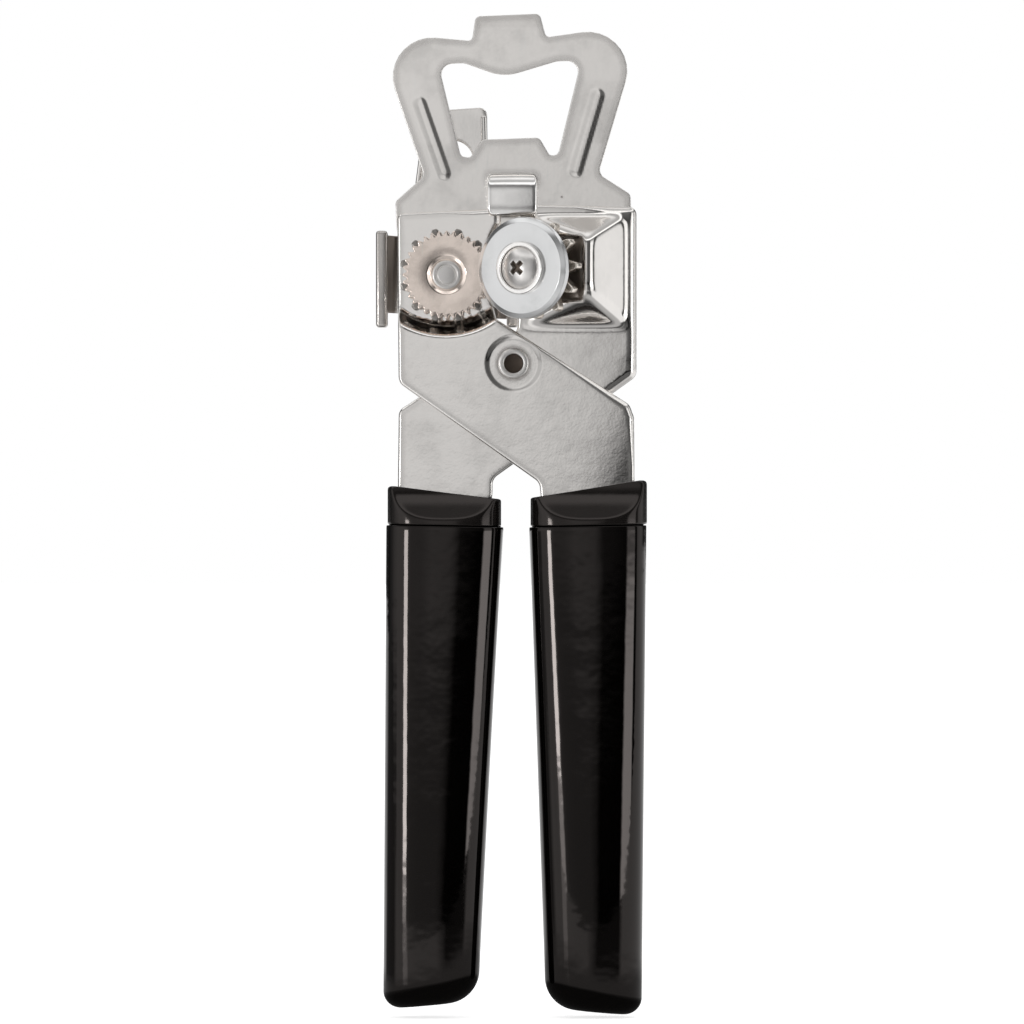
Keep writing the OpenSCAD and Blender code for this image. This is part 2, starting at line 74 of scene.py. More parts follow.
def add_object(name, data):
    """A new object for the data, linked to the scene."""
    made = bpy.data.objects.new(name, data)
    bpy.context.scene.collection.objects.link(made)
    return made


camera_data = bpy.data.cameras.new("front_camera")
camera_data.lens = camera_data.sensor_width * camera_distance / seen_width
camera_data.clip_end = 20
camera = add_object("front_camera", camera_data)
camera.location = (-0.28 * MM, -camera_distance, -28.2 * MM)
camera.rotation_euler = (np.pi / 2, 0, 0)
bpy.context.scene.camera = camera
bpy.context.scene.view_settings.view_transform = "Standard"
print("focal length", round(camera_data.lens), "mm")

# %% [markdown]
# ## Surfaces with numpy
# Every surface below is worked out in millimetres as a whole array of points and then handed
# to Blender in one call. `put` is that last step: it writes points and faces into a mesh, lets
# the piece ride on a body of the frame, hides the solid that it stands for and shades it
# smooth. Two marks for each point go along as attributes that the metals read: how much painted
# shade, with some grease in places, it takes, and how tumbled it is.

# %% Hand a surface to Blender
finishes = {}


def put(name, parts, finish, body, solid, slot, **marks):
    """Joins parts, a list of (points in mm, list of face arrays), into one smooth mesh in metres.
    The two marks, painted shade with some grease in places and tumbling, may be left out or cover
    the first points only; the rest get 0."""
    points = np.concatenate([p for p, _ in parts])
    shift = np.cumsum([0] + [len(p) for p, _ in parts])
    groups = [f + s for (_, fs), s in zip(parts, shift) for f in fs]
    corners = np.concatenate([f.ravel() for f in groups])
    sizes = np.concatenate([np.full(len(f), f.shape[1]) for f in groups])
    mesh = bpy.data.meshes.new(name)
    mesh.vertices.add(len(points))
    mesh.vertices.foreach_set("co", (points * MM).astype(np.float32).ravel())
    mesh.loops.add(len(corners))
    mesh.loops.foreach_set("vertex_index", corners.astype(np.int32))
    mesh.polygons.add(len(sizes))
    mesh.polygons.foreach_set("loop_start", (np.cumsum(sizes) - sizes).astype(np.int32))
    mesh.polygons.foreach_set("use_smooth", np.ones(len(sizes), bool))
    mesh.update(calc_edges=True)
    mesh.validate()
    for mark in ("grime", "tumbled"):
        given = marks.get(mark, ())
        values = np.zeros(len(points), np.float32)
        values[:len(given)] = given
        mesh.attributes.new(mark, "FLOAT", "POINT").data.foreach_set("value", values)
    mesh.materials.append(finishes[finish])
    piece = add_object(name, mesh)
    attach(piece, body)
    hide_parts(solid)
    print(f"{name}: {len(points)} points, {len(sizes)} faces")


# %% [markdown]
# ## Outlines
# Sheet metal is drawn the way a toolmaker draws it: a handful of corners, each with its own
# radius. The arc at a corner touches both sides, so its centre lies on the bisector. A curve could
# be drawn by hand, but corners and radii are easier to read and change.

# %% Rounded outlines
def full_turn(n):
    """n even angles round a full turn."""
    return np.linspace(0, 2 * np.pi, n, endpoint=False)


def circle(x, z, r, n=72):
    """n points round a circle."""
    a = full_turn(n)
    return np.stack([x + r * np.cos(a), z + r * np.sin(a)], 1)


def rounded(corners, arc_points=10):
    """Closed outline through rows of (x, z, radius): each corner is an arc tangent to both sides."""
    corners = np.array(corners, float)
    p, r = corners[:, :2], np.maximum(corners[:, 2], 0.02)
    u = np.roll(p, 1, 0) - p
    v = np.roll(p, -1, 0) - p
    u /= np.linalg.norm(u, axis=1)[:, None]
    v /= np.linalg.norm(v, axis=1)[:, None]
    half = np.arccos(np.clip((u * v).sum(1), -1, 1)) / 2
    bisector = (u + v) / np.linalg.norm(u + v, axis=1)[:, None]
    centre = p + bisector * (r / np.sin(half))[:, None]
    first = p + u * (r / np.tan(half))[:, None] - centre
    last = p + v * (r / np.tan(half))[:, None] - centre
    start = np.arctan2(first[:, 1], first[:, 0])
    turn = np.arctan2(last[:, 1], last[:, 0]) - start
    turn = (turn + np.pi) % (2 * np.pi) - np.pi
    angle = start[:, None] + turn[:, None] * np.linspace(0, 1, arc_points)
    arcs = centre[:, None] + r[:, None, None] * np.stack([np.cos(angle), np.sin(angle)], -1)
    return arcs.reshape(-1, 2)


def rectangle(a, b, radius, arc_points):
    """Rounded rectangle round the origin, with the half sides a and b."""
    return rounded([(a, b, radius), (-a, b, radius), (-a, -b, radius), (a, -b, radius)], arc_points)


def refined(loop, step):
    """The same closed outline with evenly spaced points added, so that no side is longer than step."""
    side = np.roll(loop, -1, 0) - loop
    n = np.maximum(1, np.ceil(np.hypot(side[:, 0], side[:, 1]) / step).astype(int))
    start = np.repeat(np.arange(len(loop)), n)
    k = np.arange(n.sum()) - np.repeat(np.cumsum(n) - n, n)
    return loop[start] + side[start] * (k / n[start])[:, None]


# %% [markdown]
# ## Pressed sheet
# A pressed part is a height field: its depth y is a function of x and z inside an outline. The
# rim of a punched or tumbled sheet is not sharp. Over the last millimetre the face rolls back
# along a quarter of an ellipse, which makes the bright and dark lines along the edges of polished
# steel. A bevel would be even all round; as a function of x and z the roll may be wider on one
# side. The points are the outline, a few rows along the roll, and an even grid inside. A Delaunay
# triangulation joins them without the stair steps that a plain grid leaves.

# %% Distance to an outline
def gauge(points, loops):
    """For each point, its distance to the nearest side of the outlines, and whether it lies inside.
    A point is inside if a line from it to the right crosses the outlines an odd number of times."""
    a = np.concatenate(loops)
    b = np.concatenate([np.roll(l, -1, 0) for l in loops])
    side = b - a
    length2 = (side**2).sum(1) + 1e-12
    slope = side[:, 0] / np.where(side[:, 1] == 0, 1e-12, side[:, 1])
    near, odd = [], []
    for chunk in np.array_split(points, max(1, len(points) // 1500)):
        gap = chunk[:, None] - a
        t = np.clip((gap * side).sum(2) / length2, 0, 1)
        near.append(np.sqrt(((gap - t[..., None] * side) ** 2).sum(2).min(1)))
        x, z = chunk[:, :1], chunk[:, 1:2]
        crosses = (a[:, 1] > z) != (b[:, 1] > z)
        odd.append((crosses & (x < a[:, 0] + (z - a[:, 1]) * slope)).sum(1) % 2 == 1)
    return np.concatenate(near), np.concatenate(odd)


# %% Points of a sheet
def sheet_points(loops, roll, spacing, rings):
    """Points inside the outlines: rows that run along the rim at 20 to 90 degrees of its roll, the
    circles of rings, and an even grid elsewhere."""
    rim = np.concatenate(loops)
    tangent = np.concatenate([np.roll(l, -1, 0) - np.roll(l, 1, 0) for l in loops])
    inward = np.stack([-tangent[:, 1], tangent[:, 0]], 1) / np.hypot(tangent[:, 0], tangent[:, 1])[:, None]
    inward *= np.where(gauge(rim + 0.01 * inward, loops)[1], 1, -1)[:, None]
    width = roll(*rim.T)[0] * np.ones(len(rim))
    inner = []
    for angle in np.radians([20, 40, 60, 75, 90]):
        offset = width * (1 - np.cos(angle))
        row = rim + inward * offset[:, None]
        d, inside = gauge(row, loops)
        inner.append(row[inside & (d > 0.97 * offset - 1e-3)])
    x, z = [np.arange(lo, hi, spacing) for lo, hi in zip(rim.min(0), rim.max(0))]
    grid = np.stack(np.meshgrid(x, z), -1).reshape(-1, 2)
    for x, z, radii in rings:
        away = np.hypot(grid[:, 0] - x, grid[:, 1] - z)
        grid = grid[(away < min(radii) - 0.5 * spacing) | (away > max(radii) + 0.5 * spacing)]
        inner += [circle(x, z, r, int(2 * np.pi * max(radii) / (0.6 * spacing))) for r in radii]
    d, inside = gauge(grid, loops)
    inner = np.concatenate(inner + [grid[inside & (d > roll(*grid.T)[0] + 0.5 * spacing)]])
    d, inside = gauge(inner, loops)
    return inner[inside & (d > 0.01)]


def triangulated(loops, inner):
    """All points and the Delaunay triangles between them that lie inside the outlines, each turned
    anticlockwise; the outlines' own sides are kept as edges."""
    order = np.split(np.arange(sum(map(len, loops))), np.cumsum([len(l) for l in loops])[:-1])
    edges = np.concatenate([np.stack([i, np.roll(i, -1)], 1) for i in order])
    flat = np.concatenate(loops + [inner])
    made = delaunay_2d_cdt(flat.tolist(), edges.tolist(), [], 0, 1e-7)
    flat, tri = np.array(made[0]), np.array(made[2])
    tri = tri[gauge(flat[tri].mean(1), loops)[1]]
    p, q, r = flat[tri.T]
    area = (q[:, 0] - p[:, 0]) * (r[:, 1] - p[:, 1]) - (q[:, 1] - p[:, 1]) * (r[:, 0] - p[:, 0])
    return flat, np.where((area < 0)[:, None], tri[:, ::-1], tri)[np.abs(area) > 1e-9]


# %% The pressed sheet itself
def roll_back(distance, width, depth):
    """Quarter ellipse: depth at the rim, nothing from width inwards."""
    s = 1 - np.clip(distance / width, 0, 1)
    return depth * (1 - np.sqrt(np.maximum(0, 1 - s * s)))


def pressed_sheet(loops, front, back, roll, spacing, rings=()):
    """Closed sheet between the depths front(x, z) and back(x, z) inside the outlines.
    roll(x, z) gives the width and the depth of the rolled front rim; rings are (x, z, radii) of
    round features that need points of their own. Returns the points, the faces and, for each
    point, its distance from the rim."""
    loops = [refined(l, spacing) for l in loops]
    flat, tri = triangulated(loops, sheet_points(loops, roll, spacing, rings))
    x, z = flat.T
    d = gauge(flat, loops)[0]
    n = len(flat)
    y_front = front(x, z) + roll_back(d, *roll(x, z))
    y_back = back(x, z) - roll_back(d, 0.3, 0.25)
    sides = np.concatenate([tri[:, [0, 1]], tri[:, [1, 2]], tri[:, [2, 0]]])
    _, index, count = np.unique(np.sort(sides, 1), axis=0, return_index=True, return_counts=True)
    a, b = sides[index[count == 1]].T
    wall = np.stack([a, a + n, b + n, b], 1)
    points = np.concatenate([np.stack([x, y, z], 1) for y in (y_front, y_back)])
    return points, [tri, tri[:, ::-1] + n, wall], np.concatenate([d, d])


# %% [markdown]
# ## Turned parts and sweeps
# Rivets, washers, bushings and wheels are turned: a profile in radius and height carried round
# an axis. Spin does that too, but here the radius may also change with the angle, and the same
# grid makes a toothed wheel. The strap, the lips of the crank and its tabs are swept: a small
# closed section carried along a path. Both close the grid on itself, so that nothing is open.

# %% Grids that close
def closed_grid(rows, columns, loop_rows):
    """Quads over rows x columns points, closed across the columns and, for loop_rows, the rows."""
    i = np.arange(rows if loop_rows else rows - 1)[:, None]
    j = np.arange(columns)[None, :]
    a, b = i * columns + j, i * columns + (j + 1) % columns
    c, d = (i + 1) % rows * columns + (j + 1) % columns, (i + 1) % rows * columns + j
    return np.stack([a, b, c, d], -1).reshape(-1, 4)


def placed(points, place, tilt=0.0):
    """Points made round a local axis, moved so that the axis comes out of the front at place,
    turned by tilt degrees towards the left."""
    t = np.radians(-tilt)
    turn = np.array([[np.cos(t), -np.sin(t), 0], [np.sin(t), np.cos(t), 0], [0, 0, 1]])
    stand = np.array([[1, 0, 0], [0, 0, -1], [0, 1, 0]])
    return points @ (turn @ stand).T + np.array(place)


# %% Turned and toothed parts
def turned(r, out, angle):
    """Surface of revolution: radius r and height out along a profile, as arrays of rows or of rows x
    angles. The profile runs anticlockwise with r to the right, and closes or ends on the axis,
    where fans of triangles meet in two poles."""
    r = np.broadcast_to(r if np.ndim(r) == 2 else np.asarray(r)[:, None], (len(r), len(angle)))
    out = np.broadcast_to(out if np.ndim(out) == 2 else np.asarray(out)[:, None], r.shape)
    points = np.stack([r * np.cos(angle), r * np.sin(angle), out], -1)
    n, m = r.shape
    if r[0].max() > 1e-6:
        return points.reshape(-1, 3), [closed_grid(n, m, True)]
    ring, following = np.arange(m), np.roll(np.arange(m), -1)
    pole, last = (n - 2) * m, (n - 3) * m
    first_fan = np.stack([np.full(m, pole), following, ring], 1)
    last_fan = np.stack([last + ring, last + following, np.full(m, pole + 1)], 1)
    points = np.concatenate([points[1:-1].reshape(-1, 3), points[:1, 0], points[-1:, 0]])
    return points, [closed_grid(n - 2, m, False), first_fan, last_fan]


def lathe(corners, place, tilt=0.0, n=96):
    """Turned part from rows of (radius, height, fillet) that close on themselves, or start and end
    at radius 0, where the outline is rounded together with its mirror image."""
    corners, fillet_points = np.array(corners, float), 6
    if corners[0, 0] == 0:
        side = corners[1:-1]
        path = rounded(np.concatenate([side, side[::-1] * [-1, 1, 1]]), fillet_points)
        path = path[path[:, 0] > 1e-4]
        path = np.concatenate([[[0, corners[0, 1]]], path, [[0, corners[-1, 1]]]])
    else:
        path = rounded(corners, fillet_points)
    points, faces = turned(path[:, 0], path[:, 1], full_turn(n))
    return placed(points, place, tilt), faces


# %% Sweeps
def swept(path, across, section, inset):
    """Section carried along path. section is n x 2: the share along across, and along the normal to
    both. inset, one or two values for each path point, shrinks the section by that on each side."""
    path, across = np.array(path, float), np.array(across, float)
    along = np.gradient(path, axis=0)
    along /= np.linalg.norm(along, axis=1)[:, None]
    normal = np.cross(along, across)
    inset = np.broadcast_to(np.reshape(inset, (len(path), -1)), (len(path), 2))
    scale = np.maximum(1 - inset / np.abs(section).max(0), 0.02)
    uv = section[None] * scale[:, None]
    points = path[:, None] + uv[..., :1] * across + uv[..., 1:] * normal[:, None]
    n, m = points.shape[:2]
    ring = np.arange(m)[None]
    return points.reshape(-1, 3), [closed_grid(n, m, False), ring[:, ::-1], ring + (n - 1) * m]


def block(centre, size, radius):
    """Upright bar with all its edges rounded: a rounded rectangle carried along z, its ends drawn in
    along a quarter circle."""
    a, b, half_length = np.array(size, float) / 2
    t = np.radians(np.linspace(0, 90, 6))
    z = half_length - radius * (1 - np.sin(t))
    z = np.concatenate([-z[::-1], z])
    inset = radius * (1 - np.cos(t))
    inset = np.concatenate([inset[::-1], inset])
    path = np.stack([0 * z, 0 * z, z], 1)
    points, faces = swept(path, (1, 0, 0), rectangle(a, b, radius, 7), inset)
    return points + np.array(centre), faces


# %% [markdown]
# ## Finishes
# Waviness, smudges and scratches are shared by all finishes, so they are node groups that each
# material takes in, not copies in every material. The groups only give out varying values. What
# is the same all over a part, such as how metallic it is, stays on its shader.

# %% Node helpers
def node(tree, kind, inputs=None, **settings):
    """A new shader node of a kind, with its settings and inputs, which are values or other sockets."""
    made = tree.nodes.new("ShaderNode" + kind)
    for key, value in settings.items():
        setattr(made, key, value)
    for key, value in (inputs or {}).items():
        if isinstance(value, bpy.types.NodeSocket):
            tree.links.new(value, made.inputs[key])
        else:
            made.inputs[key].default_value = value
    return made


def math(tree, operation, a, b=0.0, c=0.0):
    """Output of a Math node."""
    return node(tree, "Math", {0: a, 1: b, 2: c}, operation=operation).outputs[0]


def noise(tree, place, scale, detail=2.0, roughness=0.5):
    """Output of a Noise Texture node."""
    inputs = {"Vector": place, "Scale": scale, "Detail": detail, "Roughness": roughness}
    return node(tree, "TexNoise", inputs).outputs[0]


def climb(tree, value, start, end, kind="LINEAR"):
    """0 up to start, 1 from end on, and rising in between; start may be the higher one."""
    return node(tree, "MapRange", {0: value, 1: start, 2: end}, interpolation_type=kind).outputs[0]


def ramp(tree, share, stops):
    """Colour ramp through rows of (position, grey value)."""
    made = node(tree, "ValToRGB", {0: share})
    elements = made.color_ramp.elements
    elements[0].position, elements[1].position = stops[0][0], stops[-1][0]
    for position, value in stops[1:-1]:
        elements.new(position)
    for element, (position, value) in zip(elements, stops):
        element.color = (value, value, value, 1)
    return made.outputs[0]


# %% Colours
def mix_colour(tree, share, a, b):
    """Output of a colour mix."""
    return node(tree, "Mix", {0: share, 6: a, 7: b}, data_type="RGBA").outputs[2]


def grey(v, warm=0.0):
    """A nearly neutral colour, a little warmer if warm is positive."""
    return (v * (1 + warm), v, v * (1 - warm), 1)


def times(colour, factor):
    """The colour made darker or lighter by factor."""
    return tuple(min(1, factor * c) for c in colour[:3]) + (1,)


# %% [markdown]
# ## Tumbled and plated metal
# The levers are punched from strip, tumbled and chromed. Tumbling leaves a faint waviness that
# is called orange peel, and use leaves smudges that dull the shine here and there, as well as
# hair-fine scratches. The waviness is too low to need points of its own, so it is a bump about a
# millimetre wide; smudges and scratches are masks.

# %% Group: orange peel
def group(name, sockets_in, sockets_out):
    """Empty node group from rows of (name, kind, value); returns its tree, input and output nodes."""
    tree = bpy.data.node_groups.new(name, "ShaderNodeTree")
    for side, sockets in (("INPUT", sockets_in), ("OUTPUT", sockets_out)):
        for socket, kind, value in sockets:
            made = tree.interface.new_socket(socket, in_out=side, socket_type="NodeSocket" + kind)
            if value is not None:
                made.default_value = value
    return tree, tree.nodes.new("NodeGroupInput"), tree.nodes.new("NodeGroupOutput")


peel, peel_in, peel_out = group(
    "orange_peel", [("Size", "Float", 1.0), ("Height", "Float", 0.1)], [("Normal", "Vector", None)])
place = node(peel, "TexCoord").outputs["Object"]
frequency = math(peel, "DIVIDE", 1 / MM, peel_in.outputs["Size"])
wide = noise(peel, place, math(peel, "MULTIPLY", frequency, 0.3), 0.0)
waves = math(peel, "MULTIPLY_ADD", wide, 1.2, noise(peel, place, frequency))
lift = math(peel, "MULTIPLY", peel_in.outputs["Height"], MM)
bump = node(peel, "Bump", {"Strength": 1.0, "Distance": lift, "Height": waves})
peel.links.new(bump.outputs[0], peel_out.inputs["Normal"])

# %% Group: smudges and scratches
smudge, smudge_in, smudge_out = group(
    "smudges", [("Size", "Float", 9.0), ("Amount", "Float", 0.5)],
    [("Smudge", "Float", None), ("Scratch", "Float", None)])
place = node(smudge, "TexCoord").outputs["Object"]
frequency = math(smudge, "DIVIDE", 1 / MM, smudge_in.outputs["Size"])
cloud = climb(smudge, noise(smudge, place, frequency, 5.0, 0.62), 0.42, 0.72, "SMOOTHSTEP")
stretched = node(
    smudge, "Mapping", {"Vector": place, "Rotation": (0.3, 0.9, 0.2), "Scale": (4000, 600, 160)})
lines = climb(smudge, noise(smudge, stretched.outputs[0], 1.0, 1.0), 0.66, 0.78)
for socket, mask in (("Smudge", cloud), ("Scratch", lines)):
    shown = math(smudge, "MULTIPLY", mask, smudge_in.outputs["Amount"])
    smudge.links.new(shown, smudge_out.inputs[socket])
print("groups:", peel.name, smudge.name)


# %% [markdown]
# ## Materials
# Every part could have a material made by hand, but all metals share one recipe, so that a few
# numbers make the difference between mirror chrome, satin steel and nickel: a base colour that
# darkens a little under smudges and takes a brown painted shade, with some grease in places, in
# recesses and gaps, a roughness that rises there and along tumbled rims, and the orange peel as
# the normal, which fades out along those rims.

# %% Metal recipe
# Brown of the painted shade in recesses and gaps, with some grease in places.
brown_shade_and_grime = (0.16, 0.125, 0.10, 1)


def started(name, peel_size, smudges):
    """A new finish that holds the two groups: its tree, its shader and the nodes of the groups."""
    made = bpy.data.materials.new(name)
    made.use_nodes = True
    finishes[name] = made
    tree = made.node_tree
    spots = node(tree, "Group", node_tree=smudge)
    spots.inputs["Amount"].default_value = smudges
    skin = node(tree, "Group", node_tree=peel)
    skin.inputs["Size"].default_value = peel_size
    return tree, tree.nodes["Principled BSDF"], spots.outputs, skin


def joined(tree, shader, tone, roughness, skin):
    """Links the varying colour, roughness and normal to the shader."""
    for socket, value in (("Base Color", tone), ("Roughness", roughness), ("Normal", skin.outputs[0])):
        tree.links.new(value, shader.inputs[socket])


def metal(name, colour, rough, peel_size, peel_height, smudges=0.5, grime=0.0):
    """Plated metal. The mesh attribute 'tumbled' is 1 along rims, where tumbling wears the waviness off
    and leaves a satin line. The last argument is the share of a brown film of painted shade, with
    some grease in places, where the mesh attribute of the same name is set."""
    tree, shader, spots, skin = started(name, peel_size, smudges)
    shader.inputs["Metallic"].default_value = 1.0
    tumbled = node(tree, "Attribute", attribute_name="tumbled").outputs["Fac"]
    height = math(tree, "MULTIPLY_ADD", tumbled, -peel_height, peel_height)
    tree.links.new(height, skin.inputs["Height"])
    tone = mix_colour(tree, spots["Smudge"], colour, times(colour, 0.84))
    tone = mix_colour(tree, spots["Scratch"], tone, times(colour, 1.08))
    for mask, rise in ((spots["Smudge"], 0.12), (spots["Scratch"], 0.08), (tumbled, 0.14)):
        rough = math(tree, "MULTIPLY_ADD", mask, rise, rough)
    if grime:
        shade_and_grime = node(tree, "Attribute", attribute_name="grime").outputs["Fac"]
        shade_and_grime = math(tree, "MULTIPLY", shade_and_grime, grime)
        tone = mix_colour(tree, shade_and_grime, tone, brown_shade_and_grime)
        rough = math(tree, "MULTIPLY_ADD", shade_and_grime, 0.3, rough)
    joined(tree, shader, tone, rough, skin)


# %% Metals
metal("chrome_plate", grey(0.86, 0.032), 0.08, 0.6, 0.006, smudges=0.35, grime=0.75)
metal("chrome_head", grey(0.88, 0.032), 0.10, 0.5, 0.007, smudges=0.3, grime=0.75)
metal("chrome_strap", grey(0.95, 0.018), 0.12, 0.7, 0.005)
metal("satin_opener", grey(0.94, 0.034), 0.15, 0.9, 0.005, smudges=0.45, grime=0.35)
metal("nickel_gear", (0.88, 0.82, 0.75, 1), 0.22, 0.8, 0.006, grime=0.3)
metal("nickel_wheel", (1.0, 0.875, 0.79, 1), 0.13, 0.8, 0.006)
# The feed gear is nickel too; this darker copy is painted shade, because the gear lies behind the feed wheel.
metal("shaded_nickel_gear", grey(0.34, 0.06), 0.24, 0.8, 0.006, grime=0.8)
metal("nickel_bright", grey(0.92, 0.02), 0.20, 0.8, 0.004, smudges=0.4, grime=0.95)
metal("nickel_screw", grey(0.86, 0.025), 0.32, 0.8, 0.004, grime=0.95)
metal("ground_steel", grey(0.71, -0.004), 0.18, 0.8, 0.003, smudges=0.6)
metal("dull_steel", grey(0.62, 0.01), 0.30, 0.8, 0.010, smudges=0.8)
print("metals:", *finishes)


# %% [markdown]
# ## Plastics
# The grips are moulded in black plastic with a high gloss and slow ripples from cooling; the
# collars are charcoal plastic with a finer, duller skin. The ripples are the orange peel group
# again, only wider and higher.

# %% Plastics
def plastic(name, colour, rough, specular, ripple_size, ripple_height, smudges):
    """Moulded plastic with ripples and fingerprints."""
    tree, shader, spots, skin = started(name, ripple_size, smudges)
    shader.inputs["Specular IOR Level"].default_value = specular
    shader.inputs["Specular Tint"].default_value = (1.0, 0.90, 0.86, 1)
    skin.inputs["Height"].default_value = ripple_height
    tone = mix_colour(tree, spots["Smudge"], colour, times(colour, 1.5))
    for mask, rise in ((spots["Smudge"], 0.10), (spots["Scratch"], 0.06)):
        rough = math(tree, "MULTIPLY_ADD", mask, rise, rough)
    joined(tree, shader, tone, rough, skin)


plastic("grip_black", (0.0010, 0.0008, 0.0007, 1), 0.05, 0.42, 5.0, 0.034, smudges=0.25)
plastic("collar_charcoal", (0.0070, 0.0060, 0.0055, 1), 0.09, 0.45, 2.0, 0.010, smudges=0.5)
print("finishes in all:", len(finishes))


# %% [markdown]
# ## The levers
# The back lever is drawn up into a four-sided wedge, so that the cutting wheel leans over the rim
# of a can. The press leaves every crease rounded and the ridge blunt. Bevels would need care where
# creases meet; the lowest of several heights, blended with a soft minimum, rounds them all at
# once. A blind pocket in the wedge's left face clears the cutter's gear.

# %% Shapes that the press leaves
def rubbed(rim):
    """How far tumbling has smoothed the face: fully up to 0.5 from the rim, not at all beyond 1.5."""
    return np.clip(1.5 - rim, 0, 1)


def soft_box(v, lo, hi, soft):
    """1 between lo and hi, 0 outside, with an even slope over soft on each side."""
    t = np.clip(np.minimum(v - lo, hi - v) / soft + 0.5, 0, 1)
    return t * t * (3 - 2 * t)


def soft_minimum(heights, soft):
    """The lowest of several heights, -soft log(sum(exp(-h / soft))), which rounds their creases."""
    low = np.min(heights, 0)
    return low - soft * np.log(np.exp(-(np.stack(heights) - low) / soft).sum(0))


def eased(v, places, values, reach, samples=9):
    """Straight lines through values at places, softened by averaging over reach on both sides."""
    return np.mean([np.interp(v + o, places, values) for o in np.linspace(-reach, reach, samples)], 0)


def droop(x, z, start, reach, low):
    """The stamping left the levers bowed, 0.0004 x squared, and bent back a little beyond start
    towards their lower right edge: a cubic over reach that goes on straight."""
    t = np.maximum(0, (x - 0.35 * (z + 10) - start) / reach) * np.clip((low - z) / 8, 0, 1)
    return 0.0004 * x**2 + 0.045 * reach * np.where(t < 1, t**3 / 3, t - 2 / 3)


# %% Back lever plate
front_y, back_y, sheet, head_y = -1.6, 0.1, 1.5, 1.8


def wedge_height(x, z):
    """Four planes that climb to top over 12.2, 7.2, 5.9 and 4.7, cut by a narrow blunt ridge that
    sinks to the right. A soft maximum with zero eases them into the flat plate."""
    top, foot = 12.2 * np.tan(np.radians(30)), 0.35
    left, right = (x - 2.0) * top / 12.2, (21.4 - x) * top / 7.2
    lower, upper = (z - 7.1) * top / 5.9, (28.2 - z) * top / 4.7
    ridge = soft_minimum([left, right, top - 0.5 - 0.17 * (x - 14.2)], 0.3)
    return foot * np.logaddexp(0, soft_minimum([ridge, lower, upper], 0.9) / foot)


def back_plate_front(x, z):
    """The flat arm less the height of the wedge, with the blind pocket sunk into it."""
    pocket = soft_box(x, 8.6, 12.9, 0.5) * soft_box(z, 12.0, 23.9, 0.5)
    return back_y - wedge_height(x, z) + 0.9 * pocket + droop(x, z, 12.0, 9.0, 8.0)


def back_plate_back(x, z):
    """Flat, and hollow where the wedge is drawn up."""
    return np.minimum(back_y + sheet, back_y + 2.25 - wedge_height(x, z))


def back_plate_roll(x, z):
    """The right side and the long lower right edge were sheared and roll over further."""
    right = np.clip((x - 12) / 6, 0, 1)
    return 0.55 + 1.1 * right, 0.5 + 0.65 * right


back_outline = rounded([
    (0.8, 30.2, 0.8), (23.4, 29.8, 1.5), (23.4, -2.4, 2.2), (-3.9, -21.9, 2.2), (-4, -26, 1),
    (-6.6, -26, 0.3), (-11.4, -100, 2), (-19, -100, 2), (-19.6, -26, 0.3), (-22, -26, 1),
    (-21.8, -8.9, 2), (0.8, 5.8, 3)])
plate, faces, rim = pressed_sheet(
    [back_outline, circle(0, 0, 2.3)], back_plate_front, back_plate_back, back_plate_roll, 0.42)
flange = block((22.65, 2.8, 13.5), (1.5, 3.2, 25), 0.5)
# Painted shade in and round the blind pocket of the wedge.
pocket_shade = soft_box(plate[:, 0], 7.6, 13.4, 1.5) * soft_box(plate[:, 2], 11.5, 24.2, 1.5)
put("back_lever_plate", [(plate, faces), flange], "chrome_plate", "back_lever", "back_plate", "chrome",
    grime=pocket_shade, tumbled=rubbed(rim))

# %% [markdown]
# The front lever steps back by 3.4 mm round its head, along part of a cone, to pass behind the
# feed wheel. A shallow ring is coined round the rivet. Both are functions of the distance from a
# centre, and the ring gets circles of points of its own, because the grid would fray it. The left
# edge of the head is bent back.

# %% Front lever plate
shaft = (-12.7, 0, 16.8)


def from_head(x, z):
    """Distance from the middle of the round step."""
    return np.hypot(x + 12.9, z - 22.4)


def front_plate_front(x, z):
    """The step falls from the arm to the head between the radii 17.1 and 14.9; the coined ring is
    0.16 deep and ends between the radii 4.75 and 5.3."""
    step = eased(from_head(x, z), [14.9, 17.1], [1, 0], 0.6)
    step = front_y + step * (head_y - front_y - 0.02 * (x + 12))
    coined = eased(np.hypot(x, z), [4.75, 5.3], [0.16, 0.0], 0.2)
    return step + coined + droop(x, z, 14.5, 11.0, 2.0)


def front_plate_back(x, z):
    """The same step, farther out, because the sheet keeps its thickness on the slope."""
    return eased(from_head(x, z), [15.716, 17.916], [head_y, front_y], 0.4, 7) + sheet


def front_plate_roll(x, z):
    """The right end rolls over further."""
    right = np.clip((x + 0.75 * z - 8) / 6, 0, 1)
    return 0.55 + 0.75 * right, 0.5 + 0.5 * right


front_outline = rounded([
    (-22.1, 28.6, 1.2), (-2.4, 29.6, 0.8), (-2.4, 26.6, 1.5), (-4.4, 22.5, 4), (-4.4, 13, 4),
    (-3.2, 8.4, 1), (22.0, -7.8, 2), (22.9, -10.2, 2), (23.0, -26, 1), (19.6, -26, 0.3),
    (19, -100, 2), (11.4, -100, 2), (6.6, -26, 0.3), (5.2, -26, 1), (4.9, -22.6, 2.2), (-21.8, -3.7, 2.2)])
plate, faces, rim = pressed_sheet(
    [front_outline, circle(0, 0, 2.25), circle(shaft[0], shaft[2], 3.6)], front_plate_front, front_plate_back,
    front_plate_roll, 0.42, rings=[(0, 0, (4.2, 4.45, 4.65, 4.85, 5.05, 5.25, 5.45, 5.65, 5.9))])
flange = block((-21.5, 4.2, 16.5), (1.2, 3.2, 14), 0.45)
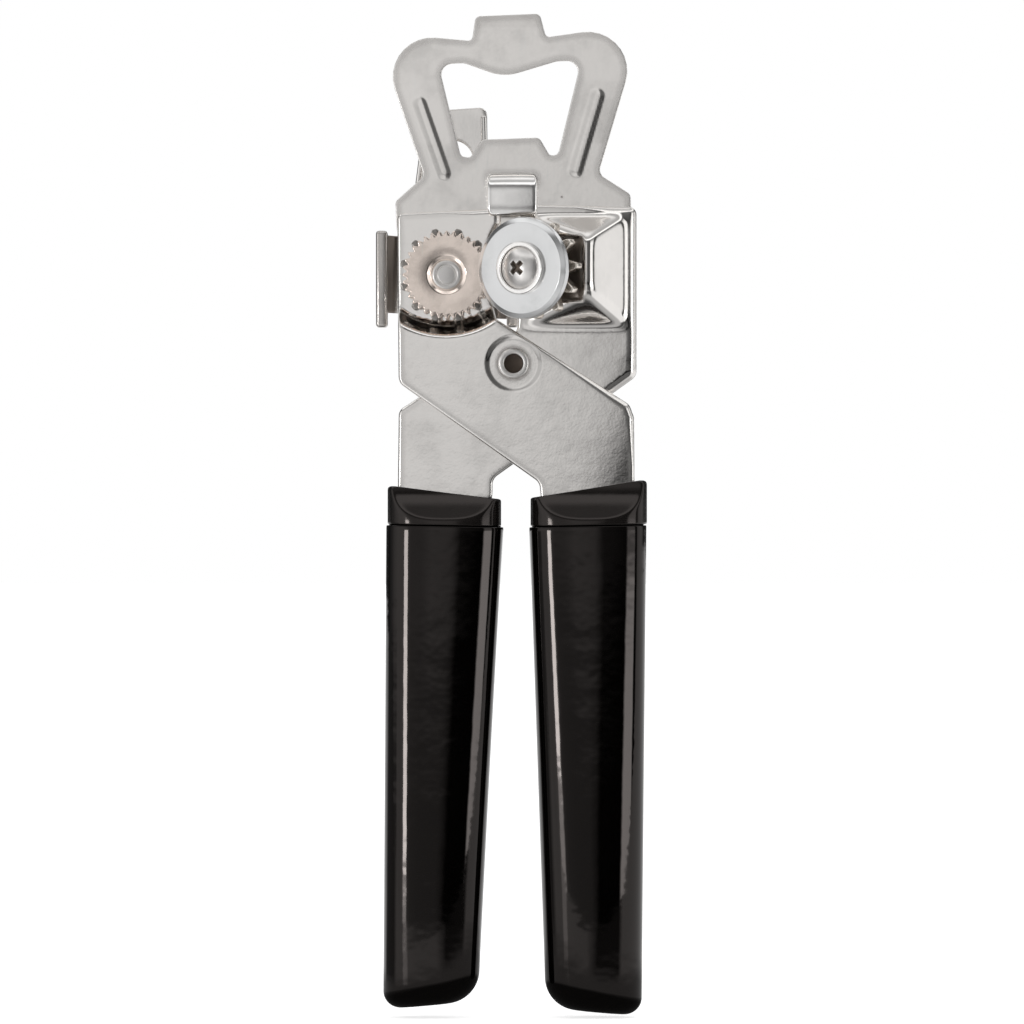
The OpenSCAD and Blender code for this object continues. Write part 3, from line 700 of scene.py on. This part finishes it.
# Painted shade on the plate round the rivet's hole, under its washer.
rivet_edge_shade = 0.5 * soft_box(np.hypot(plate[:, 0], plate[:, 2]), 2.0, 3.3, 0.5)
put("front_lever_plate", [(plate, faces), flange], "chrome_head", "front_lever", "front_plate", "chrome",
    grime=rivet_edge_shade, tumbled=rubbed(rim))

# %% [markdown]
# ## The bottle opener
# The opener is thinner strip with a satin, tumbled finish. Two beads are pressed in beside the
# window to stiffen the sides. It is one more pressed sheet. The window and the slot of the strap
# are further outlines, so that nothing has to be cut out afterwards.

# %% Bottle opener
opener_y, opener_sheet = 3.3, 1.2
pit_x, pit_z = 9.2, 31.8


def bead_height(x, z, a, b):
    """Bead 0.12 high along the line from a to b. It ends 1.25 from the line; its flat top is wide at
    the right and narrow at the left, so it rises gently from the left and falls off at the right."""
    dx, dz = b[0] - a[0], b[1] - a[1]
    t = np.clip(((x - a[0]) * dx + (z - a[1]) * dz) / (dx * dx + dz * dz), 0, 1)
    right = x - a[0] - t * dx
    across = np.hypot(right, z - a[1] - t * dz)
    flat = np.interp(right, [-0.5, 0.5], [0.1, 0.92])
    soft = np.linspace(-0.12, 0.12, 7)
    return 0.12 * np.mean([np.clip((1.25 - across - o) / (1.25 - flat), 0, 1) for o in soft], 0)


def opener_front(x, z):
    """Flat, with a twist of half a degree at the top, and two beads."""
    beads = bead_height(x, z, (-18.0, 49.6), (-13.4, 36.4)) + bead_height(x, z, (15.9, 51.2), (11.7, 36.9))
    return opener_y - beads - 0.012 * x * np.clip((z - 42) / 12, 0, 1)


opener_outline = rounded([
    (21.4, 27.2, 0.8), (22.4, 29.0, 0.6), (22.3, 32.3, 1.4), (16.2, 36.2, 1.6), (24.7, 64.8, 7.5),
    (6.2, 62.2, 0.9), (5.0, 66.7, 1.1), (-7.2, 66.2, 1.1), (-7.9, 61.5, 0.9), (-26.3, 63.2, 7.5),
    (-17.0, 35.8, 1.6), (-22.5, 30.9, 1.4), (-22.2, 24.8, 1), (4.0, 24.8, 1), (5.5, 27.2, 1)])
opener_window = rounded([
    (12.9, 57.8, 2.1), (8.2, 57.6, 4), (-1.8, 54.6, 9), (-9.4, 57.3, 3), (-14.3, 57.1, 2.2),
    (-10.0, 39.5, 1.1), (-8.2, 39.3, 0.9), (-6.0, 42.7, 1.2), (4.9, 43.1, 1.2), (6.9, 39.7, 0.9),
    (8.5, 39.8, 1.1)])
strap_slot = rounded([(-4.6, 34.4, 0.3), (4.1, 34.4, 0.3), (4.1, 35.9, 0.3), (-4.6, 35.9, 0.3)], 5)
plate, faces, rim = pressed_sheet(
    [opener_outline, opener_window, strap_slot], opener_front, lambda x, z: opener_y + opener_sheet,
    lambda x, z: (0.16, 0.14), 0.32, rings=[(pit_x, pit_z, (0.1, 0.3))])
# Painted shade on the small tab at the top, above z 64, and a dark dot of painted shade at a small pit that
# the sheet itself does not sink.
tab_shade = 0.15 * np.clip((plate[:, 2] - 64.0) / 0.3, 0, 1)
pit = 2.5 * np.clip(1 - np.hypot(plate[:, 0] - pit_x, plate[:, 2] - pit_z) / 0.3, 0, 1)
put("bottle_opener_plate", [(plate, faces)], "satin_opener", "front_lever", "bottle_opener", "satin_steel",
    grime=tab_shade + pit, tumbled=rubbed(rim))

# %% [markdown]
# The strap is a tongue of sheet, folded through the slot of the blade and down on both sides. Its
# width never changes, so it is not pressed but swept: its side view is the path, and a slightly
# crowned rectangle is the section. The front leg is given by its slope, which turns in at the
# foot and curls back at the top.

# %% Strap
strap_foot = 28.2
front_z = np.linspace(strap_foot, 35.5, 40)
slope = np.interp(front_z, [28.2, 28.5, 29.2, 30.5, 32.0, 33.0, 34.0, 34.6, 35.1, 35.5],
                  [-40, -12, -4, 0, 2, 8, 22, 38, 58, 78])
back = np.cumsum(np.tan(np.radians(slope)) * (front_z[1] - front_z[0]))
front_leg = np.stack([-0.92 + back - back[13], front_z], 1)
bend = np.radians(np.linspace(0, 90, 9))
back_fold = np.stack([3.7 + 1.4 * np.sin(bend), 34.2 + 1.4 * np.cos(bend)], 1)
back_leg = [[5.1, 31.0], [5.1, 28.35], [5.1, strap_foot]]
y, z = np.concatenate([front_leg, [[2.6, 35.6]], back_fold, back_leg]).T
corner = np.maximum(np.clip(1 - (z - strap_foot) / 1.2, 0, 1), np.clip((z - 34.5) / 1.3, 0, 1))
inset = np.stack([1.2 * (1 - np.sqrt(1 - corner**2)), 0.25 * (z < strap_foot + 0.01)], 1)
section = refined(rectangle(4.75, 0.6, 0.55, 8), 0.5)
section[:, 1] -= (section[:, 1] < 0) * 0.16 * (1 - ((section[:, 0] - 0.8) / 5.55) ** 2)
path = np.stack([np.full(len(y), -0.25), y, z], 1)
put("strap", [swept(path, (1, 0, 0), section, inset)], "chrome_strap", "front_lever", "opener_strap", "chrome")

# %% [markdown]
# ## Rivets, washers and the bushing
# These are all turned or punched round, so a profile with a fillet at every corner says it all.
# The rivet is hollow, so that a punch can spread it; the dirty brown in its hole, partly painted shade, is a
# mark on its points.

# %% Round parts on the front lever
def put_turned(solid, corners, place, finish, body, slot, tilt=0.0):
    """A turned part, handed over under the name of its solid."""
    put(solid + "_turned", [lathe(corners, place, tilt)], finish, body, solid, slot)


def ring(y0, y1, r_out, r_in):
    """Corners of a plain ring between two depths, for a part whose axis comes out of the front."""
    return [(r_in, -y1, 0.12), (r_out, -y1, 0.12), (r_out, -y0, 0.12), (r_in, -y0, 0.12)]


pivot = (0, 0, 0)
rivet = lathe([
    (0, -3.1, 0), (3.1, -3.1, 0.5), (4.0, -2.1, 0.1), (2.25, -2.1, 0.05), (2.25, 1.15, 0.05),
    (2.9, 1.15, 0.1), (2.9, 2.0, 0.42), (1.8, 2.0, 0.34), (1.8, -1.6, 0.2), (0, -1.6, 0)], pivot)
x, y, z = rivet[0].T
# The hole darkens with depth: painted shade, partly a real brown deposit.
bore_shade_and_dirt = (np.hypot(x, z) < 1.9) * np.clip((y + 1.5) / 1.2, 0, 1) * (y < 1.7)
put("pivot_rivet_turned", [rivet], "nickel_screw", "front_lever", "pivot_rivet", "nickel", grime=bore_shade_and_dirt)
put_turned("pivot_washer", ring(1.65, 2.1, 5, 2.25), pivot, "nickel_gear", "front_lever", "nickel")
put_turned("shaft_bushing", [
    (2.6, -12.8, 0.2), (3.6, -12.8, 0.4), (3.6, -4.5, 0.05), (5.6, -4.5, 0.3), (5.6, -3.3, 0.1),
    (3.6, -3.3, 0.03), (3.6, -1.8, 0.03), (2.6, -1.8, 0.03)], shaft, "dull_steel", "front_lever", "tool_steel")
put_turned("feed_washer", ring(1.45, 1.8, 5.2, 2.6), shaft, "nickel_gear", "front_lever", "nickel")


# %% [markdown]
# ## Toothed wheels
# A tooth is a straight-sided bump: the radius runs from the root to the tip and back within
# each pitch. Towards the faces of a wheel the teeth are eased, as tumbled sinter parts are. An
# array modifier could copy one tooth, but as a function of the angle they run into the round hub
# without a joint.

# %% Feed wheel and feed gear
def tooth_radius(angle, teeth, tip_r, root_r, tip_w, root_w, phase=0.0):
    """Radius of a toothed outline at each angle, its corners softened by averaging over a small turn."""
    pitch = 2 * np.pi / teeth
    tip, root = np.arcsin(tip_w / 2 / tip_r), np.arcsin(root_w / 2 / root_r)
    def one(a):
        off = np.abs((a - np.radians(phase) + pitch / 2) % pitch - pitch / 2)
        return np.interp(off, [tip, root], [tip_r, root_r])
    return np.mean([one(angle + o * pitch) for o in np.linspace(-0.025, 0.025, 5)], 0)


def toothed_wheel(rows, radius, tip_r, place, tilt=0.0):
    """Wheel from rows of (radius, out, share): share 1 follows the teeth, share 0 is round."""
    rows = np.array(rows, float)
    r = rows[:, :1] + rows[:, 2:] * (radius - tip_r)
    points, faces = turned(r, rows[:, 1], full_turn(len(radius)))
    return placed(points, place, tilt), faces


wheel = toothed_wheel([
    (2.5, 0.8, 0), (2.55, 0.8, 0), (7.2, 0.8, 0), (8.25, 0.8, 1), (8.36, 0.84, 1), (8.4, 0.95, 1),
    (8.4, 2.35, 1), (8.37, 2.48, 1), (8.25, 2.57, 0.95), (8.05, 2.6, 0.9), (7.3, 2.6, 0), (7.2, 2.6, 0),
    (6.0, 2.6, 0), (3.9, 2.6, 0), (3.75, 2.58, 0), (3.6, 2.52, 0), (2.98, 2.13, 0), (2.9, 2.1, 0),
    (2.55, 2.1, 0), (2.5, 2.1, 0)], tooth_radius(full_turn(36 * 12), 36, 8.4, 7.65, 0.3, 1.1), 8.4, shaft)
put("feed_wheel_serrated", [wheel], "nickel_wheel", "crank_set", "feed_wheel", "nickel")

gear_angle = full_turn(12 * 32)
gear_rows = np.array([
    (2.5, -1.1, 0), (2.6, -1.1, 0), (5.5, -1.1, 0), (8.7, -1.1, 1), (8.93, -1.03, 1), (9.0, -0.8, 1),
    (9.0, 0.8, 1), (8.93, 1.03, 1), (8.7, 1.1, 1), (5.5, 1.1, 0), (2.6, 1.1, 0), (2.5, 1.1, 0)])
teeth = tooth_radius(gear_angle, 12, 9.0, 6.6, 1.0, 2.6, 15)
gear = toothed_wheel(gear_rows - [0, 0.3, 0], teeth, 9.0, shaft)
# Painted shade on the feed gear, which lies behind the feed wheel: darker inwards from its tips.
away = np.hypot(gear[0][:, 0] - shaft[0], gear[0][:, 2] - shaft[2])
put("feed_gear_toothed", [gear], "shaded_nickel_gear", "crank_set", "feed_gear", "nickel",
    grime=np.clip((8.6 - away) / 1.5, 0, 1))

# %% [markdown]
# The drive shaft is turned like the rivet. Its front end is spread inside the dimple of the feed
# wheel and keeps the dish of the punch; its back end is riveted over behind the crank.

# %% Drive shaft and its washer
put_turned("drive_shaft", [
    (0, -16.7, 0), (2.8, -16.7, 0.5), (4.2, -15.2, 0.2), (2.5, -15.2, 0.03), (2.5, 2.1, 0.02),
    (2.75, 2.1, 0.05), (2.75, 2.7, 0.3), (2.05, 2.7, 0.12), (1.98, 2.4, 0.05), (1.72, 2.4, 0.05),
    (1.65, 2.7, 0.1), (0, 2.7, 0)], shaft, "nickel_screw", "crank_set", "tool_steel")
put_turned("crank_washer", ring(12.9, 14.0, 6, 2.5), shaft, "nickel_gear", "crank_set", "nickel")

# %% [markdown]
# ## The crank
# The key is one pressing: its hub has two hemmed tabs, and its wings have lips that turn
# forwards for a softer hold. The flat part is a pressed sheet; the lips and tabs are rounded bars
# that run into it, which is simpler than bending one sheet. The key leans by three degrees, as it
# happened to stop.

# %% Crank
lean = np.radians(3)


def leaned(points, angle, x0, z0):
    """Points turned by angle to the right, as seen from the front, and moved by x0 and z0."""
    (x, y, z), c, s = points.T, np.cos(angle), np.sin(angle)
    return np.stack([x * c + z * s + x0, y, z * c - x * s + z0], 1)


def on_shaft(part):
    """The part turned by the crank's lean and moved onto the shaft."""
    return leaned(part[0], lean, shaft[0], shaft[2]), part[1]


def key_front(x, z):
    """The hub bends forwards into its tabs with a radius of 2."""
    u = np.clip((np.abs(x) - 9.6) / 2, 0, 0.98) * soft_box(z, -9, 9, 0.5)
    return 14.0 - 2 * (1 - np.sqrt(1 - u * u))


crank_outline = rounded([
    (5.9, 33, 1.5), (-5.9, 31.6, 1.5), (-7.625, 7.4, 2), (-12.6, 7.4, 0.1), (-12.6, -7.4, 0.1),
    (-7.625, -7.4, 2), (-5.975, -20.5, 3), (5.975, -20.5, 3), (7.625, -7.4, 2), (12.6, -7.4, 0.1),
    (12.6, 7.4, 0.1), (7.625, 7.4, 2)])
key, key_faces, rim = pressed_sheet(
    [crank_outline, circle(0, 0, 2.5), circle(0, 22.4, 3.8)], key_front, lambda x, z: 15.2,
    lambda x, z: (0.3, 0.25), 0.6)
parts = [on_shaft((key, key_faces))]
# Painted shade where the hub bends into its tabs, and on the tabs, which lie in the gap behind the plates.
shade_and_grime = [1.1 * soft_box(np.abs(key[:, 0]), 9.4, 14, 0.6) * soft_box(key[:, 2], -9, 9, 0.5)]
for side, length in ((-1, 17.5), (1, 18.5)):
    wing_lip, lip_faces = block((-side * 0.6, 12.85, -19.5 + length / 2), (1.2, 2.7, length), 0.5)
    wing_lip = leaned(wing_lip, -side * np.arctan(0.075), side * 5.9, 32.3)
    foot_lip = block((side * 6.625, 12.85, -13.5), (1.2, 2.7, 7), 0.5)
    tab = block((side * 12.5 + shaft[0], 12.35, 16.35), (2.2, 5.7, 18.5), 0.6)
    parts += [on_shaft((wing_lip, lip_faces)), on_shaft(foot_lip), tab]
    shade_and_grime += [np.zeros(len(wing_lip) + len(foot_lip[0])), np.full(len(tab[0]), 0.5)]
put("crank_key", parts, "chrome_head", "crank_set", "crank", "chrome", grime=np.concatenate(shade_and_grime))

# %% [markdown]
# ## The cutter
# The cutting wheel is a hardened disc with a bevel ground on its front. It leans by thirty
# degrees, turns on a sleeve with its gear behind it, and a screw holds it to the wedge. All are
# made round their own axis and tilted together by `placed`, so they stay in line.

# %% Cutter
axle, tilt, gear_out = (1.75, -8.45, 17.9), 30, -5.0
disc = lathe([
    (3.0, -0.7, 0.05), (9.7, -0.7, 0.08), (9.7, -0.45, 0.06), (9.5, 0.22, 0.1), (8.6, 0.7, 0.15),
    (3.0, 0.7, 0.05)], axle, tilt, 144)
put("cutting_wheel_ground", [disc], "ground_steel", "cutter_set", "cutting_wheel", "tool_steel")
teeth = tooth_radius(gear_angle, 12, 9.5, 6.8, 0.9, 2.6, 3)
wider = np.where((gear_rows[:, 0] > 8) | (gear_rows[:, 0] < 3), 0.5, 0)
gear = toothed_wheel(gear_rows + np.stack([wider, 0 * wider + gear_out, 0 * wider], 1), teeth, 9.5, axle, tilt)
# The gear turns brown inwards from its tips: partly old grease, partly painted shade behind the disc.
away = np.linalg.norm(gear[0] - placed(np.array([[0, 0, gear_out]]), axle, tilt), axis=1)
put("cutter_gear_toothed", [gear], "nickel_gear", "cutter_set", "cutter_gear", "nickel",
    grime=np.clip((9.3 - away) / 1.5, 0, 1))
put_turned("cutter_hub", [
    (2.15, -6.1, 0.1), (3.0, -6.1, 0.1), (3.0, 0.7, 0.02), (5.0, 0.7, 0.05), (5.0, 1.6, 0.25),
    (4.07, 1.6, 0.2), (4.07, 0.95, 0.1), (2.15, 0.95, 0.05)],
    axle, "nickel_bright", "cutter_set", "nickel", tilt)
put_turned("cutter_spacer", [(3.0, -3.9, 0.05), (4.3, -3.9, 0.1), (4.3, -0.7, 0.1), (3.0, -0.7, 0.05)],
           axle, "dull_steel", "cutter_set", "tool_steel", tilt)
put_turned("cutter_sleeve", [
    (1.5, -7.53, 0.05), (3.6, -7.53, 0.1), (3.6, -7.03, 0.1), (2.1, -7.03, 0.03), (2.1, 0.97, 0.1),
    (1.5, 0.97, 0.1)], axle, "dull_steel", "back_lever", "tool_steel", tilt)

# %% [markdown]
# The screw's head is a low dome with a cross-shaped recess. On a grid of rings and angles the
# recess is one more height: two crossed bars, with a little slope at their sides. Cutting it out
# with a Boolean would leave sharp edges, and the real ones are worn.

# %% Cutter screw
angle = full_turn(192)
shank_r = [1.5, 1.5, 1.5, 3.7, 3.92, 3.99]
shank_out = [-12.53, -12.4, 1.0, 1.0, 1.03, 1.08]
dome_r = np.concatenate([np.linspace(3.97, 2.4, 10), np.linspace(2.3, 0.1, 26), [0.0]])
ball_r = (4.0**2 + 1.7**2) / (2 * 1.7)
dome_out = np.maximum(2.7 - ball_r + np.sqrt(ball_r**2 - dome_r**2), 1.1)
out = np.concatenate([shank_out, dome_out])[:, None] * np.ones(len(angle))
u = dome_r[:, None] * np.cos(angle - np.pi / 4)
v = dome_r[:, None] * np.sin(angle - np.pi / 4)
cross = np.maximum(*[soft_box(a, -1.45, 1.45, 0.3) * soft_box(b, -0.4, 0.4, 0.3) for a, b in ((u, v), (v, u))])
out[len(shank_r):] -= 1.1 * cross
points, faces = turned(np.concatenate([[0], shank_r, dome_r]), np.concatenate([out[:1], out]), angle)
# Painted shade in the cross recess and at the dome's centre.
shade_and_grime = np.concatenate([np.zeros(len(shank_r) * len(angle)), cross[:-1].ravel(), [0.0, 1.0]])
put("cutter_screw_domed", [(placed(points, axle, tilt), faces)], "nickel_screw", "back_lever", "cutter_screw",
    "nickel", grime=shade_and_grime)


# %% [markdown]
# ## Grips and collars
# A grip is a stack of rounded oblongs that widen and slant a little towards the end, where they
# are drawn in along quarter circles. A subdivided box comes close, but here a power sets how round
# the section is at each height. The collar above it is the same oblong, thinned towards the plate
# that it holds; the crease where it is thinned is what shows as a curved highlight.

# %% Grips
seam, grip_half = 31.0, 6.5


def edges(d, left):
    """Inner and outer edge, as x to the right of the middle, at the depth d below the rivet."""
    t = (d - seam) / 92.6
    return (1.9 + 5.45 * t - 0.5 * t * t, 24.15 + 0.6 * t) if left else (3.0 + 3.2 * t, 25.25 - 0.9 * t)


def oblong_rings(inner, outer, half, sides, power):
    """Rings of rounded oblongs between the points inner and outer, rows of (x, depth): cosine and sine
    to a power, 1 for an ellipse and less for a squarer section."""
    a = full_turn(sides)
    c = np.sign(np.cos(a)) * np.abs(np.cos(a)) ** power
    s = np.sign(np.sin(a)) * np.abs(np.sin(a)) ** power
    middle, reach = (inner + outer) / 2, (outer - inner) / 2
    x = middle[:, :1] + reach[:, :1] * c
    z = -middle[:, 1:] - reach[:, 1:] * c
    return np.stack([x, half[:, None] * s, z], -1)


def ringed(rings, left):
    """Closed skin over rings, mirrored for the left side."""
    n, m = rings.shape[:2]
    points = rings.reshape(-1, 3) * [-1 if left else 1, 1, 1]
    ends = [np.arange(m)[None], np.arange(m)[None, ::-1] + (n - 1) * m]
    faces = [closed_grid(n, m, False)[:, ::-1]] + ends
    return points, [f[:, ::-1] for f in faces] if left else faces


def grip(end, left):
    """Grip from the seam down to end; its inner corner is rounder and sits a little higher."""
    inner_r, outer_r, inner_end = 6.0, 3.2, end - 0.8
    t = np.concatenate([[-0.004, 0, 0, 0.0006, 0.0016, 0.004], np.linspace(0.01, 1, 110)])
    a = np.radians(np.linspace(3, 90, 30))
    rim = np.concatenate([[0.5, 0.5, 0.2, 0.08, 0.02, 0.0], np.zeros(110), 0 * a])
    draw = np.concatenate([0 * t, 1 - np.cos(a)])
    inner_d = seam + 0.1 + (inner_end - inner_r - seam - 0.1) * t
    outer_d = seam - 0.3 + (end - outer_r - seam + 0.3) * t
    inner_d = np.concatenate([inner_d, inner_end - inner_r * (1 - np.sin(a))])
    outer_d = np.concatenate([outer_d, end - outer_r * (1 - np.sin(a))])
    inner = np.stack([edges(inner_d, left)[0] + inner_r * draw + rim, inner_d], 1)
    outer = np.stack([edges(outer_d, left)[1] - outer_r * draw - rim, outer_d], 1)
    power = np.interp(inner_d, [40, 110], [0.72, 0.79 if left else 0.90])[:, None]
    return ringed(oblong_rings(inner, outer, grip_half - 3.6 * draw - rim, 128, power), left)


put("left_grip_moulded", [grip(122.3, True)], "grip_black", "back_lever", "left_grip", "grip_plastic")
put("right_grip_moulded", [grip(123.6, False)], "grip_black", "front_lever", "right_grip", "grip_plastic")


# %% Collars
def collar(x, top, left):
    """Collar between the edges x, its top slanting from top[0] to top[1]. Its half thickness is held
    under a limit that grows from 3.4 at the depth 23 to the full one, by a soft minimum."""
    t = np.concatenate([[0, 0, 0.01, 0.03, 0.06], np.linspace(0.1, 0.97, 60), [0.985, 1.0, 1.0]])
    rim = np.concatenate([[1.4, 0.7, 0.4, 0.15, 0.04], np.zeros(60), [0.02, 0.15, 0.6]])
    inner = np.stack([x[0] + rim, top[0] + (seam - 0.1 - top[0]) * t], 1)
    outer = np.stack([x[1] - rim, top[1] + (seam - 0.5 - top[1]) * t], 1)
    rings = oblong_rings(inner, outer, grip_half - rim, 160, 0.72)
    limit = 3.4 + 3.2 * (np.maximum(0, -rings[..., 2] - 23) / 6.8) ** 1.5
    y = soft_minimum([np.abs(rings[..., 1]), limit], 0.18)
    rings[..., 1] = np.sign(rings[..., 1]) * np.maximum(y, 0)
    return ringed(rings, left)


put("left_collar_moulded", [collar((2.35, 23.9), (25.7, 23.3), True)], "collar_charcoal", "back_lever",
    "left_collar", "collar_plastic")
put("right_collar_moulded", [collar((3.25, 25.35), (25.4, 22.2), False)], "collar_charcoal", "front_lever",
    "right_collar", "collar_plastic")

# %% [markdown]
# ## Hidden hardware
# The spring washer and the nut behind the wedge show only from behind, where their plain
# solids are enough; they take a dull steel through their material slots.

# %% Plain solids
for name in ("cutter_wave_washer", "cutter_nut"):
    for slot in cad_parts[name].material_slots:
        slot.material = finishes["dull_steel"]
    print(name, "keeps its solid")

# %% [markdown]
# ## Light
# Polished metal shows its surroundings, so these are painted: soft white and dark cards round the
# tool, given by direction alone. With lamps, each card would need one of its own. The upper row,
# for the plates, has a grey card in front and bright ones at the left. The lower row is a narrow
# band that only the grips mirror: dark in front, so that they stay black, and bright on each side.

# %% World
def compass(tree, direction):
    """Share of a full turn at which a direction points: 0.5 is the front, and more is to the right."""
    azimuth = math(tree, "ARCTAN2", direction[0], math(tree, "MULTIPLY", direction[1], -1.0))
    return math(tree, "MULTIPLY_ADD", azimuth, 1 / (2 * np.pi), 0.5)


def painted(tree, share, rows, span, strength):
    """Ramp through rows of (degrees, brightness), for a share of span degrees and a lamp's strength."""
    return ramp(tree, share, [(angle / span + 0.5, value / strength) for angle, value in rows])


cards = [
    (-180, 0.06), (-118, 0.06), (-95, 0.3), (-80, 0.7), (-66, 0.95), (-49, 1.0), (-40, 1.0), (-34, 0.66),
    (-28, 0.50), (-14, 0.50), (-9, 0.58), (-5, 0.70), (0, 0.66), (2, 0.58), (6.5, 0.13), (39, 0.04), (43, 1.1),
    (65, 1.0), (68, 0.06), (75, 0.06), (80, 0.85), (100, 0.9), (122, 0.06), (180, 0.06)]
low_cards = [
    (-180, 0.06), (-118, 0.06), (-95, 0.2), (-80, 0.25), (-70, 0.25), (-64, 0.85), (-53, 0.85), (-45.5, 1.0),
    (-44, 4.0), (-36, 4.0), (-34.5, 0.5), (-28, 0.35), (-14, 0.30), (0, 0.28), (2, 0.2), (6.5, 0.0), (39, 0.0),
    (43, 3.9), (65, 3.6), (68, 0.0), (75, 0.0), (80, 0.85), (100, 0.9), (122, 0.06), (180, 0.06)]
bands = [
    (-90, 1.2), (-25, 1.2), (-12, 0.8), (10, 0.66), (18, 0.10), (39, 0.10), (43, 1.2), (52, 1.2), (58, 0.42),
    (72, 0.48), (82, 0.9), (90, 1.0)]
world_strength = 4.0
world = bpy.data.worlds.new("studio")
bpy.context.scene.world = world
world.use_nodes = True
tree = world.node_tree
tree.nodes.clear()
direction = node(tree, "TexCoord").outputs["Generated"]
direction = node(tree, "SeparateXYZ", {0: direction}).outputs
turn = compass(tree, direction)
elevation = math(tree, "ARCSINE", direction[2])
height = math(tree, "MULTIPLY_ADD", elevation, 1 / np.pi, 0.5)
upper = painted(tree, turn, cards, 360, world_strength)
lower = painted(tree, turn, low_cards, 360, world_strength)
above_grips, under_grips = climb(tree, elevation, -0.030, -0.006), climb(tree, elevation, -0.080, -0.095)
around = mix_colour(tree, math(tree, "MAXIMUM", above_grips, under_grips), lower, upper)
above = painted(tree, height, bands, 180, world_strength)
steep = climb(tree, math(tree, "ABSOLUTE", elevation), 0.26, 0.70, "SMOOTHSTEP")
light = mix_colour(tree, steep, around, above)
lit = node(tree, "Background", {"Color": light, "Strength": world_strength})
plain = node(tree, "Background", {"Color": (1, 1, 1, 1), "Strength": 1.0})
seen = node(tree, "LightPath").outputs["Is Camera Ray"]
both = node(tree, "MixShader", {0: seen, 1: lit.outputs[0], 2: plain.outputs[0]})
node(tree, "OutputWorld", {"Surface": both.outputs[0]})
print("world:", len(cards), "cards above,", len(low_cards), "below")

# %% [markdown]
# The bright lines along the grips come from a strip lamp at the left. A card in the world has no
# place, only a direction, so the plates would mirror it too; the lamp is as high as the grips.

# %% Strip light
strip_data = bpy.data.lights.new("strip", "AREA")
strip_data.shape = "RECTANGLE"
strip_data.size, strip_data.size_y = 0.15, 0.121
strip_data.energy = 0.75
strip = add_object("strip", strip_data)
strip_angle = np.radians(-40)
strip.location = (np.sin(strip_angle), -np.cos(strip_angle), -0.0745)
strip.rotation_euler = (np.pi / 2, 0, strip_angle)
print("strip lamp from", [round(strip.location.z + s * strip_data.size_y / 2, 4) for s in (-1, 1)], "m")

# %% [markdown]
# ## Floor
# The tool stands over a white sheet. To the camera the sheet adds a little light of its own, so
# that it reads as white paper and keeps the tool's shadow. Brighter lamps would bleach the tool.
# In reflections the sheet is painted like the cards, with painted shade close to the tool.

# %% Floor
floor_z = solid_box[0][2] - 0.0006
floor_mesh = bpy.data.meshes.new("floor")
corners = [(x, y, floor_z) for x, y in ((-6, -0.3), (6, -0.3), (6, 9), (-6, 9))]
floor_mesh.from_pydata(corners, [], [(0, 1, 2, 3)])
floor = add_object("floor", floor_mesh)
paper = bpy.data.materials.new("paper")
paper.use_nodes = True
floor_mesh.materials.append(paper)
tree = paper.node_tree
tree.nodes.clear()
path = node(tree, "LightPath").outputs
place = node(tree, "TexCoord").outputs["Object"]
tint = mix_colour(tree, noise(tree, place, 300.0), grey(0.86), grey(0.90))
matt = node(tree, "BsdfDiffuse", {"Color": tint})
glow = node(tree, "Emission", {"Strength": math(tree, "MULTIPLY", path["Is Camera Ray"], 0.75)})
lit = node(tree, "AddShader", {0: matt.outputs[0], 1: glow.outputs[0]})

# %% What the floor shows in reflections
sheets = [
    (-180, 1.0), (-130, 1.0), (-118, 0.15), (-76, 0.2), (-64, 0.9), (-46, 0.9), (-44, 2.0), (-36, 2.0),
    (-34, 0.9), (-2, 0.8), (8, 0.08), (42, 0.08), (50, 0.9), (180, 1.0)]
floor_strength = 2.0
spot = node(tree, "SeparateXYZ", {0: place}).outputs
around = painted(tree, compass(tree, spot), sheets, 360, floor_strength)
level = node(tree, "VectorMath", {0: place, 1: (1, 1, 0)}, operation="MULTIPLY").outputs[0]
reach = node(tree, "VectorMath", {0: level}, operation="LENGTH").outputs["Value"]
near = ramp(tree, reach, [(0.03, 0.03), (0.07, 0.22), (0.20, 0.25)])
mirrored = mix_colour(tree, climb(tree, reach, 0.13, 0.20), near, around)
mirrored = node(tree, "Emission", {"Color": mirrored, "Strength": floor_strength})
both = node(tree, "MixShader", {0: path["Is Glossy Ray"], 1: lit.outputs[0], 2: mirrored.outputs[0]})
node(tree, "OutputMaterial", {"Surface": both.outputs[0]})
print("floor at", round(floor_z / MM, 2), "mm")

# %% Print the solids' box
print("solid box", solid_box)
